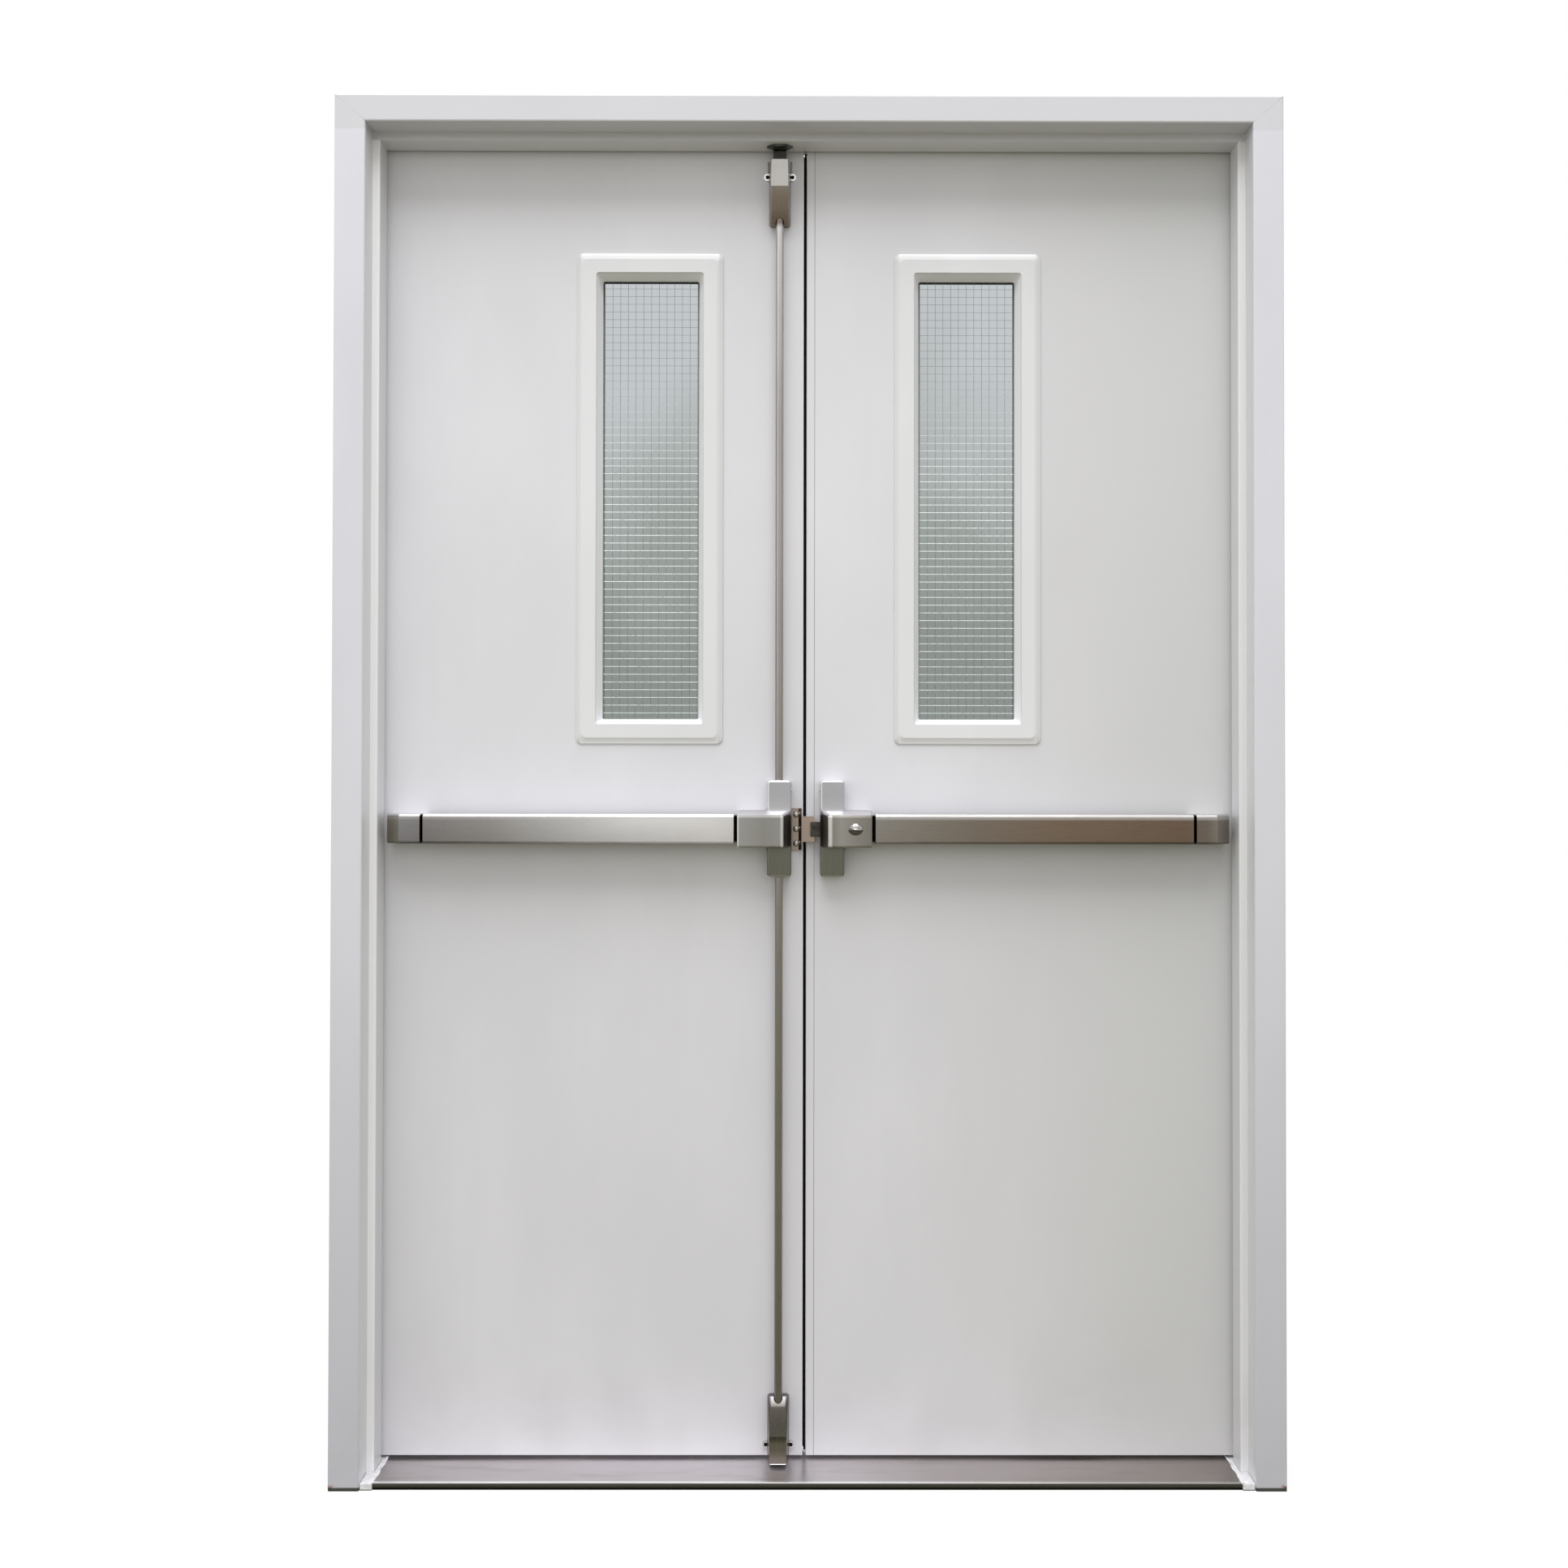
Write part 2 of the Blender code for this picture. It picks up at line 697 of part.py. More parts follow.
def loft_ring(bm, loops):
    """Faces from each loop to the next one, and from the last one back to the first."""
    for near, far in zip(loops, loops[1:] + loops[:1]):
        for i in range(len(near)):
            bm.faces.new((near[i - 1], near[i], far[i], far[i - 1]))


def make_lite(side, carrier):
    """The folded frames on both faces of the leaf, with the glass held between their lips."""
    name = SIDE_NAMES[side]
    centre = (side * LITE_X, LITE_Z)
    half = LITE_SHEET / 2
    glass_front = GLASS_Y - GLASS_T / 2
    visible = [
        (LITE_LIP, glass_front - SEAT - half),
        (half, glass_front - SEAT - half),
        (LITE_REVEAL + half, LEAF_Y - LITE_PROUD + half),
        (LITE_OUTER - LITE_BEVEL, LEAF_Y - LITE_PROUD + half),
        (LITE_OUTER - half, LEAF_Y - LITE_SKIRT - half),
        (LITE_OUTER - half, LEAF_Y - SEAT),
    ]
    outline = ribbon(visible, LITE_SHEET)
    for face, flip in (("push", False), ("pull", True)):
        bm = bmesh.new()
        loops = []
        for out, y in outline:
            share = out / LITE_OUTER
            radius = LITE_INNER_R + (LITE_OUTER_R - LITE_INNER_R) * share
            depth = 2 * GLASS_Y - y if flip else y
            loops.append(
                rounded_loop(bm, centre, LITE_W / 2 + out, LITE_H / 2 + out, radius, depth)
            )
        loft_ring(bm, loops)
        piece(f"{name}_lite_frame_{face}", bm, "leaf_paint", carrier)
    half_w, half_h = LITE_W / 2 + GLASS_BITE, LITE_H / 2 + GLASS_BITE
    bm = box(
        (centre[0] - half_w, GLASS_Y - GLASS_T / 2, LITE_Z - half_h),
        (centre[0] + half_w, GLASS_Y + GLASS_T / 2, LITE_Z + half_h),
    )
    piece(f"{name}_glass", bm, "wired_glass", carrier)


def bar_outline(depth_front, depth_back):
    """The channel section of the push bar and its cover: height and depth, open to the leaf."""
    front, half = depth_front - BAR_T / 2, BAR_H / 2 - BAR_T / 2
    path = [
        (half, depth_back),
        (half, front - BAR_BEVEL),
        (half - BAR_BEVEL, front),
        (-half + BAR_BEVEL, front),
        (-half, front - BAR_BEVEL),
        (-half, depth_back),
    ]
    return ribbon(path, BAR_T)


def along_x(outline, x0, x1):
    """A section of height and depth from the leaf's face, extruded along X."""
    return prism(
        outline,
        lambda h, d: (x0, LEAF_Y - d, DEVICE_Z + h),
        lambda h, d: (x1, LEAF_Y - d, DEVICE_Z + h),
    )


def make_bar(side, carrier, bar_pivot):
    """The rail on the leaf, the push bar that slides over it, and the fixed cover and cap."""
    name = SIDE_NAMES[side]
    case_x = MEETING_X + side * CASE_FAR
    half = RAIL_H / 2 - RAIL_T / 2
    rail = [
        (half, RAIL_DEPTH), (half, SEAT + RAIL_T / 2),
        (-half, SEAT + RAIL_T / 2), (-half, RAIL_DEPTH),
    ]
    cap_root = side * (CAP_END_X - CAP_L)
    rail_ends = case_x + side * SEAT, cap_root - side * SEAT
    piece(f"{name}_rail", along_x(ribbon(rail, RAIL_T), *rail_ends), "dark_steel", carrier)
    bar_ends = MEETING_X + side * BAR_NEAR, side * BAR_END_X
    bar = along_x(bar_outline(BAR_DEPTH, BAR_LEG_BACK), *bar_ends)
    piece(f"{name}_push_bar", bar, "brushed_stainless", bar_pivot)
    cover_ends = side * (COVER_END_X - COVER_L), side * COVER_END_X
    cover = along_x(bar_outline(BAR_DEPTH, SEAT), *cover_ends)
    piece(f"{name}_rail_cover", cover, "brushed_stainless", carrier)

    tip, root = side * CAP_END_X, cap_root
    outline = [
        (root, SEAT), (tip, SEAT), (tip, CAP_TIP_DEPTH), (root, BAR_DEPTH - BAR_T),
    ]
    low, high = DEVICE_Z - BAR_H / 2, DEVICE_Z + BAR_H / 2
    bm = prism(
        outline,
        lambda x, d: (x, LEAF_Y - d, low),
        lambda x, d: (x, LEAF_Y - d, high),
    )
    front = LEAF_Y - CAP_TIP_DEPTH / 2
    bevel_where(
        bm,
        lambda mid, edge: mid.y < front and abs(mid.x - root) > SEAT,
        BAR_BEVEL * 0.75,
    )
    piece(f"{name}_end_cap", bm, "brushed_stainless", carrier)


def corner_fill(radius, root, steps=5):
    """What rounds the corner between two walls that meet at the origin, rooted in both."""
    turns = [math.pi / 2 * i / steps for i in range(steps + 1)]
    arc = [(radius * (1 - math.sin(a)), radius * (1 - math.cos(a))) for a in turns]
    return [(-root, radius), (-root, -root), (radius, -root)] + arc


def make_case(side, carrier):
    """The hollow centre case: an upright stem and a deeper head towards the push bar."""
    name = SIDE_NAMES[side]
    near, far = CASE_NEAR[side], CASE_FAR

    def x_at(u):
        return MEETING_X + side * u

    def deep(u, depth, z):
        return x_at(u), LEAF_Y - depth, z

    stem = box(
        deep(near, SEAT, DEVICE_Z - STEM_H / 2),
        deep(near + STEM_W, STEM_DEPTH, DEVICE_Z + STEM_H / 2),
    )
    leaf_side = LEAF_Y - 2 * SEAT
    bevel_where(stem, lambda mid, edge: runs_along(edge, 1), STEM_CORNER, 3)
    stem_rim = LEAF_Y - STEM_DEPTH + SEAT
    bevel_where(stem, lambda mid, edge: mid.y < stem_rim, STEM_BEVEL)
    case = piece(f"{name}_center_case", stem, "brushed_stainless", carrier)

    outline = [
        (far, SEAT), (far, CASE_DEPTH), (near + CASE_CHAMFER_W, CASE_DEPTH),
        (near, CASE_DEPTH - CASE_CHAMFER_D), (near, SEAT),
    ]
    head = prism(
        outline,
        lambda u, d: deep(u, d, DEVICE_Z - CASE_H / 2),
        lambda u, d: deep(u, d, DEVICE_Z + CASE_H / 2),
    )
    slope_root = deep(near, CASE_DEPTH - CASE_SLOPE_D, DEVICE_Z + CASE_H / 2)
    slope_out = (0, -CASE_SLOPE_H, CASE_SLOPE_D)
    cut_away(head, slope_root, slope_out)
    bevel_where(head, lambda mid, edge: mid.y < leaf_side, CASE_BEVEL)
    combine(case, "UNION", tool(f"{name}_case_head", head, carrier))

    for away in (-1, 1):
        fillet = prism(
            corner_fill(CASE_FILLET, 2 * CASE_WALL),
            lambda out, up: deep(near + STEM_W + out, SEAT, DEVICE_Z + away * (CASE_H / 2 + up)),
            lambda out, up: deep(
                near + STEM_W + out, STEM_DEPTH - STEM_BEVEL,
                DEVICE_Z + away * (CASE_H / 2 + up),
            ),
        )
        combine(case, "UNION", tool(f"{name}_case_fillet_{away + 2}", fillet, carrier))

    wall = CASE_WALL
    stem_room = box(
        deep(near + wall, -CLEAR, DEVICE_Z - STEM_H / 2 + wall),
        deep(near + STEM_W - wall, STEM_DEPTH - wall, DEVICE_Z + STEM_H / 2 - wall),
    )
    combine(case, "DIFFERENCE", tool(f"{name}_stem_room", stem_room, carrier))
    outline = [
        (far - wall, -CLEAR), (far - wall, CASE_DEPTH - wall),
        (near + CASE_CHAMFER_W + wall / 2, CASE_DEPTH - wall),
        (near + wall, CASE_DEPTH - CASE_CHAMFER_D - wall / 2), (near + wall, -CLEAR),
    ]
    head_room = prism(
        outline,
        lambda u, d: deep(u, d, DEVICE_Z - CASE_H / 2 + wall),
        lambda u, d: deep(u, d, DEVICE_Z + CASE_H / 2 - wall),
    )
    cut_away(head_room, Vector(slope_root) + Vector((0, wall, -wall)), slope_out)
    combine(case, "DIFFERENCE", tool(f"{name}_head_room", head_room, carrier))
    return case


def make_rods(carrier, top_pivot, bottom_pivot):
    """Rods and bolts of the vertical latches, with the slots that they run in."""
    x = ROD_X
    stem_top, stem_bottom = DEVICE_Z + STEM_H / 2, DEVICE_Z - STEM_H / 2
    latches = (
        ("top", TOP_LATCH_Z, -1, stem_top, top_pivot, SOFFIT_Z - SEAT - STRIKE_T - RUN),
        ("bottom", BOTTOM_LATCH_Z, 1, stem_bottom, bottom_pivot, SILL_H - BOLT_ENGAGE),
    )
    for name, end_z, inward, stem_z, rod_pivot, tip_z in latches:
        bolt_root = tip_z + inward * BOLT_L
        bolt = box(*bolt_box(0, tip_z, bolt_root))
        bevel_where(
            bolt,
            lambda mid, edge: abs(mid.z - tip_z) < SEAT,
            BOLT_ROUND,
        )
        piece(f"left_{name}_bolt", bolt, "dark_steel", rod_pivot)
        ends = (x, ROD_Y, bolt_root + inward * SEAT), (x, ROD_Y, stem_z + inward * ROD_IN_CASE)
        bm = rod(*ends, ROD_R)
        smooth(piece(f"left_{name}_rod", bm, "brushed_stainless", rod_pivot))
        make_latch_case(name, end_z, inward, abs(bolt_root - end_z), carrier)


def make_latch_case(name, end_z, inward, bolt_reach, carrier):
    """A cast case round one bolt: square at the bolt's end, sloping back to the rod."""
    x = ROD_X

    def up(distance):
        return end_z + inward * distance

    nose = LATCH_L - LATCH_END_L
    slopes = [
        (LATCH_DEPTH, LATCH_SQUARE), (LATCH_NOSE, nose), (LATCH_NOSE - LATCH_END_DROP, LATCH_L),
    ]
    outline = [(SEAT, 0), (LATCH_DEPTH, 0)]
    outline += rounded_path(slopes, LATCH_END_R)
    outline += [(SEAT, LATCH_L)]
    half = LATCH_W / 2
    bm = prism(
        outline,
        lambda d, l: (x - half, LEAF_Y - d, up(l)),
        lambda d, l: (x + half, LEAF_Y - d, up(l)),
    )
    bevel_where(
        bm,
        lambda mid, edge: (
            abs(mid.x - x) > SEAT and inward * (mid.z - up(nose)) > -LATCH_CORNER
        ),
        LATCH_CORNER, 4,
    )
    for vert in bm.verts:
        depth = LEAF_Y - vert.co.y
        share = 1 - (1 - LATCH_TAPER) * depth / LATCH_DEPTH
        vert.co.x = x + (vert.co.x - x) * share
    front = LEAF_Y - 2 * SEAT
    bevel_where(
        bm,
        lambda mid, edge: mid.y < front and inward * (mid.z - up(nose)) < -LATCH_CORNER,
        LATCH_BEVEL,
    )
    case = piece(f"left_{name}_latch_case", bm, "brushed_stainless", carrier)
    for side in (LEFT, RIGHT):
        ear_x = x + side * EAR_OFFSET
        ends = (ear_x, LEAF_Y - SEAT, up(EAR_FROM_END)), (ear_x, LEAF_Y - EAR_T, up(EAR_FROM_END))
        combine(case, "UNION", tool(f"{name}_ear_{SIDE_NAMES[side]}", rod(*ends, EAR_R), carrier))
    if name == "top":
        half = LATCH_BASE_W / 2
        base = box(
            (x - half, LEAF_Y - SEAT, up(-LATCH_BASE_OVER)),
            (x + half, LEAF_Y - LATCH_BASE_T, up(LATCH_BASE_UNDER)),
        )
        combine(case, "UNION", tool("top_latch_base", base, carrier))
    slot_end = bolt_reach + TRAVEL + 2 * ROD_CLEAR
    low, high = bolt_box(ROD_CLEAR, up(-LATCH_BASE_OVER - CLEAR), up(slot_end))
    slot = box(low, (high[0], LEAF_Y + CLEAR, high[2]))
    combine(case, "DIFFERENCE", tool(f"{name}_latch_slot", slot, carrier))
    ends = (x, ROD_Y, up(slot_end - CLEAR)), (x, ROD_Y, up(LATCH_L + CLEAR))
    bore = rod(*ends, ROD_R + ROD_CLEAR, 24)
    combine(case, "DIFFERENCE", tool(f"{name}_latch_bore", bore, carrier))


def half_ellipsoid(size, place, tilt=0):
    """The front half of an ellipsoid, tilted about Y by degrees."""
    bm = bmesh.new()
    bmesh.ops.create_uvsphere(bm, u_segments=24, v_segments=12, radius=1)
    cut_away(bm, (0, 0, 0), (0, 1, 0))
    bmesh.ops.scale(bm, vec=size, verts=bm.verts)
    turn = Matrix.Rotation(math.radians(tilt), 3, "Y")
    bmesh.ops.rotate(bm, cent=(0, 0, 0), matrix=turn, verts=bm.verts)
    bmesh.ops.translate(bm, vec=place, verts=bm.verts)
    return bm


def make_rim_latch(latch_pivot, turn_pivot, case):
    """The latch bolt of the right leaf and the thumb turn on its case."""
    def x_at(u):
        return MEETING_X + u

    lip_front = LEAF_Y - LIP_STEP - SEAT - KEEPER_T
    back = lip_front - RUN
    low, high = LATCH_Z - RIM_BOLT_H / 2, LATCH_Z + RIM_BOLT_H / 2
    ends = (x_at(RIM_BOLT_TIP), back, low), (x_at(RIM_BOLT_TAIL), back - RIM_BOLT_T, high)
    bm = box(*ends)
    bevel_where(
        bm,
        lambda mid, edge: abs(mid.x - x_at(RIM_BOLT_TIP)) < SEAT,
        BOLT_ROUND / 2,
    )
    piece("right_latch", bm, "dark_steel", latch_pivot)
    slot = box(
        (x_at(RIM_BOLT_TIP), back + ROD_CLEAR, low - ROD_CLEAR),
        (x_at(CASE_NEAR_R + 2 * CASE_WALL), back - RIM_BOLT_T - ROD_CLEAR, high + ROD_CLEAR),
    )
    combine(case, "DIFFERENCE", tool("right_latch_slot", slot, case.parent))

    centre = Vector((x_at(TURN_U), 0, DEVICE_Z))
    face = LEAF_Y - CASE_DEPTH
    root = centre + Vector((0, face - RUN, 0))
    dome = half_ellipsoid((TURN_W / 2, TURN_DOME, TURN_H / 2), root)
    turn = smooth(piece("right_thumb_turn", dome, "polished_stainless", turn_pivot))
    wing = half_ellipsoid((TURN_W / 2 - RUN, TURN_PROUD, TURN_WING_H / 2), root, TURN_TILT)
    combine(turn, "UNION", tool("turn_wing", wing, turn_pivot))
    inner, outer = face + 2 * CASE_WALL, face - RUN - TURN_DOME / 2
    shaft_ends = (centre.x, inner, centre.z), (centre.x, outer, centre.z)
    combine(turn, "UNION", tool("turn_shaft", rod(*shaft_ends, TURN_SHAFT_R), turn_pivot))
    bore_ends = (centre.x, inner + CASE_WALL, centre.z), (centre.x, face - CASE_WALL, centre.z)
    bore = rod(*bore_ends, TURN_SHAFT_R + RUN)
    combine(case, "DIFFERENCE", tool("turn_bore", bore, case.parent))


def make_stem_bores(case, carrier):
    """Holes in both ends of the left stem for the rods."""
    reach = STEM_H / 2 + CLEAR
    ends = (ROD_X, ROD_Y, DEVICE_Z - reach), (ROD_X, ROD_Y, DEVICE_Z + reach)
    combine(case, "DIFFERENCE", tool("left_stem_bore", rod(*ends, ROD_R + ROD_CLEAR), carrier))


def make_meeting_strike(carrier):
    """The strike on the left leaf, whose lip steps forward and bridges the meeting gap."""
    half_t = KEEPER_T / 2
    plate, lip = LEAF_Y - SEAT - half_t, LEAF_Y - SEAT - LIP_STEP - half_t
    path = [
        (-CASE_NEAR_L + SEAT, plate), (-KEEPER_NEAR - LIP_STEP, plate),
        (-KEEPER_NEAR, lip), (LIP_REACH, lip),
    ]
    bm = prism(
        ribbon(path, KEEPER_T),
        lambda u, y: (MEETING_X + u, y, LATCH_Z - KEEPER_H / 2),
        lambda u, y: (MEETING_X + u, y, LATCH_Z + KEEPER_H / 2),
    )
    strike = piece("meeting_strike", bm, "polished_stainless", carrier)
    corners = bmesh.new()
    reach = LEAF_Y - 3 * LIP_STEP
    for away in (-1, 1):
        add_box(
            corners,
            (MEETING_X - KEEPER_NEAR, LEAF_Y, LATCH_Z + away * LIP_H / 2),
            (MEETING_X + LIP_REACH + CLEAR, reach, LATCH_Z + away * KEEPER_H),
        )
    combine(strike, "DIFFERENCE", tool("strike_corners", corners, carrier))


def make_door():
    make_frame()
    make_sill()
    make_head_strike()
    for side in (LEFT, RIGHT):
        name = SIDE_NAMES[side]
        leaf = pivot(f"{name}_leaf_pivot", (side * HINGE_X, HINGE_Y, LEAF_BOTTOM))
        make_leaf(side, leaf)
        make_lite(side, leaf)
        for number, z in enumerate(HINGE_ZS, start=1):
            make_hinge(side, number, z, leaf)
        bar_place = (side * (CASE_FAR + BAR_END_X) / 2, LEAF_Y - BAR_DEPTH, DEVICE_Z)
        make_bar(side, leaf, pivot(f"{name}_bar_slide", bar_place, leaf))
        case = make_case(side, leaf)
        if side == LEFT:
            make_stem_bores(case, leaf)
            top = pivot("left_top_rod_slide", (ROD_X, ROD_Y, TOP_LATCH_Z), leaf)
            bottom = pivot("left_bottom_rod_slide", (ROD_X, ROD_Y, BOTTOM_LATCH_Z), leaf)
            make_rods(leaf, top, bottom)
            make_meeting_strike(leaf)
        else:
            latch = pivot("right_latch_slide", (MEETING_X + CASE_NEAR_R, ROD_Y, LATCH_Z), leaf)
            turn_place = (MEETING_X + TURN_U, LEAF_Y - CASE_DEPTH, DEVICE_Z)
            turn = pivot("right_thumb_turn_axis", turn_place, leaf)
            make_rim_latch(latch, turn, case)


make_door()
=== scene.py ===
"""Looks for the double hollow metal fire door: materials, small fittings, light and camera."""

import math

import bmesh
import bpy
from mathutils import Matrix, Vector


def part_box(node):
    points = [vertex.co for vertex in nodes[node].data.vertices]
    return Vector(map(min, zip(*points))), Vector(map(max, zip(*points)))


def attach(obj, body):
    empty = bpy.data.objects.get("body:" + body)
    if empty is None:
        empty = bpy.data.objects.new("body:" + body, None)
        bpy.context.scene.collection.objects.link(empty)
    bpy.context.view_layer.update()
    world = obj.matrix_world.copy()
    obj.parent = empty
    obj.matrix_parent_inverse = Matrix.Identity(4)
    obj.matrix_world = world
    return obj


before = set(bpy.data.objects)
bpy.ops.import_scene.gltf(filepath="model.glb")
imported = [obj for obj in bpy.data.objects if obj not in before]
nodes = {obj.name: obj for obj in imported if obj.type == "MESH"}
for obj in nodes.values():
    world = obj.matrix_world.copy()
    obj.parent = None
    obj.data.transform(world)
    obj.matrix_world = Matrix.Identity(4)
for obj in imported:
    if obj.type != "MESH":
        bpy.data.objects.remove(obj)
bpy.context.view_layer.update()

LEFT, RIGHT = -1, 1
SIDES = {"left": LEFT, "right": RIGHT}
PUSH, PULL = Vector((0, -1, 0)), Vector((0, 1, 0))
TOUCH = 0.0001
LEAF_CLEAR = 0.005

# Camera, fitted to the edges of the frame and the devices
CAMERA_PLACE = (-0.01013, -2.67973, 1.11117)
CAMERA_TURN = (90.7623, -0.0725, -0.1456)
CAMERA_LENS = 38.175
CAMERA_SHIFT = (-0.01425, -0.01743)

# Places of edges that the finishes follow, in metres
RABBET_X = abs(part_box("left_leaf")[0].x) + LEAF_CLEAR
FRAME_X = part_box("right_jamb")[1].x
STOP_FACE_Y = -0.02425
HEAD_LOW_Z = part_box("head")[0].z
SEAM_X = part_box("meeting_edge_channel")[1].x
LITE_LOW, LITE_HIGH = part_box("right_lite_frame_push")
GLASS_LOW, GLASS_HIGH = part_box("left_glass")
BAR_LOW_Z, BAR_HIGH_Z = (corner.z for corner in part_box("left_push_bar"))
CASE_LOW_Z, CASE_HIGH_Z = (corner.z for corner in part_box("left_center_case"))
LATCH_X = sum(corner.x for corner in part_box("left_top_latch_case")) / 2
LATCH_LOW_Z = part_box("left_bottom_latch_case")[0].z
LATCH_WALL_OUT, EAR_ROOT_OUT, EAR_HALF = (0.0158, 0.0172), (0.0178, 0.0184), (0.0064, 0.0070)
TOP_EAR_Z, BOTTOM_EAR_Z = 2.094, 0.034
CASE_HEAD_FOOT_Z, CASE_HEAD_TOP_Z = (1.0010, 1.0025), (1.0520, 1.0535)
CASE_HEAD_RIM_X = -0.1133, -0.1110
STEM_FOOT_Z = 1.0620, 1.0640
STEM_RIMS_X = (-0.0656, -0.0632), (0.0198, 0.0222)
KNOB_RIDGE_Z = 1.0308
NOSING_Y, SILL_FRONT_Y = -0.0600, -0.0652
PAINTED_SHADE_BELOW_Z = 1.05
GLOW_WIRES_Z = 1.50, 1.82


# Materials

def rgb(red, green, blue):
    """A colour as it is seen on screen, from 0 to 255, as the linear one that a shader takes."""
    def linear(value):
        value /= 255
        return value / 12.92 if value <= 0.04045 else ((value + 0.055) / 1.055) ** 2.4

    return linear(red), linear(green), linear(blue), 1.0


class Finish:
    """A Principled material whose pattern is built node by node on object coordinates."""

    def __init__(self, name, **sockets):
        self.material = bpy.data.materials.new(name)
        self.material.use_nodes = True
        self.tree = self.material.node_tree
        self.shader = self.tree.nodes["Principled BSDF"]
        for socket, value in sockets.items():
            self.shader.inputs[socket.replace("_", " ")].default_value = value
        self.place = self.node("ShaderNodeTexCoord").outputs["Object"]

    def node(self, kind, **settings):
        made = self.tree.nodes.new(kind)
        for key, value in settings.items():
            setattr(made, key, value)
        return made

    def feed(self, socket, value):
        """Links an output to a socket, or sets the socket to a plain value."""
        if isinstance(value, bpy.types.NodeSocket):
            self.tree.links.new(value, socket)
        else:
            socket.default_value = value

    def stretched(self, scale, offset):
        """The object coordinates, scaled and shifted for a pattern."""
        mapping = self.node("ShaderNodeMapping")
        self.feed(mapping.inputs["Vector"], self.place)
        mapping.inputs["Scale"].default_value = scale
        mapping.inputs["Location"].default_value = offset
        return mapping.outputs["Vector"]

    def noise(self, scale, detail=3.0, stretch=(1, 1, 1), offset=(0, 0, 0), rough=0.5):
        made = self.node("ShaderNodeTexNoise")
        self.feed(made.inputs["Vector"], self.stretched(stretch, offset))
        made.inputs["Scale"].default_value = scale
        made.inputs["Detail"].default_value = detail
        made.inputs["Roughness"].default_value = rough
        return made.outputs["Fac"]

    def cells(self, scale):
        made = self.node("ShaderNodeTexVoronoi")
        self.feed(made.inputs["Vector"], self.place)
        made.inputs["Scale"].default_value = scale
        return made.outputs["Distance"]

    def axis(self, letter):
        split = self.node("ShaderNodeSeparateXYZ")
        self.feed(split.inputs["Vector"], self.place)
        return split.outputs[letter]

    def ranged(self, value, low, high, out_low=0.0, out_high=1.0, smooth=True):
        """A step of a value from low to high, which goes from out_low to out_high."""
        made = self.node("ShaderNodeMapRange")
        made.interpolation_type = "SMOOTHSTEP" if smooth else "LINEAR"
        for socket, number in zip(
            ("Value", "From Min", "From Max", "To Min", "To Max"),
            (value, low, high, out_low, out_high),
        ):
            self.feed(made.inputs[socket], number)
        return made.outputs["Result"]

    def maths(self, operation, a, b=0.0):
        made = self.node("ShaderNodeMath", operation=operation)
        self.feed(made.inputs[0], a)
        self.feed(made.inputs[1], b)
        return made.outputs["Value"]

    def times(self, a, b):
        return self.maths("MULTIPLY", a, b)

    def band(self, value, rise, fall, level=1.0):
        """The share between two soft edges of a value, each where its step starts and ends."""
        return self.times(self.ranged(value, *rise), self.ranged(value, *fall, level, 0))

    def away(self, letter, place=0.0):
        """How far a point lies from a place along an axis, to either side."""
        return self.maths("ABSOLUTE", self.maths("SUBTRACT", self.axis(letter), place))

    def ramp(self, value, *stops):
        """A colour from a value; each stop is a position and a colour."""
        made = self.node("ShaderNodeValToRGB")
        elements = made.color_ramp.elements
        while len(elements) < len(stops):
            elements.new(0.5)
        for element, (position, color) in zip(elements, stops):
            element.position = position
            element.color = color
        self.feed(made.inputs["Fac"], value)
        return made.outputs["Color"]

    def tones(self, letter, *stops):
        """A colour from a place along an axis; each stop is a place in metres and a colour."""
        low, high = stops[0][0], stops[-1][0]
        share = self.ranged(self.axis(letter), low, high, smooth=False)
        return self.ramp(share, *(((place - low) / (high - low), color) for place, color in stops))

    def blend(self, share, under, over):
        made = self.node("ShaderNodeMix", data_type="RGBA")
        self.feed(made.inputs[0], share)
        self.feed(made.inputs[6], under)
        self.feed(made.inputs[7], over)
        return made.outputs[2]

    def bump(self, *layers):
        """Stacks bump layers; each is a height, its strength and its distance in metres."""
        normal = None
        for height, strength, distance in layers:
            made = self.node("ShaderNodeBump")
            made.inputs["Strength"].default_value = strength
            made.inputs["Distance"].default_value = distance
            self.feed(made.inputs["Height"], height)
            if normal:
                self.feed(made.inputs["Normal"], normal)
            normal = made.outputs["Normal"]
        self.feed(self.shader.inputs["Normal"], normal)

    def set(self, socket, value):
        self.feed(self.shader.inputs[socket], value)


GRIME = rgb(120, 112, 104)


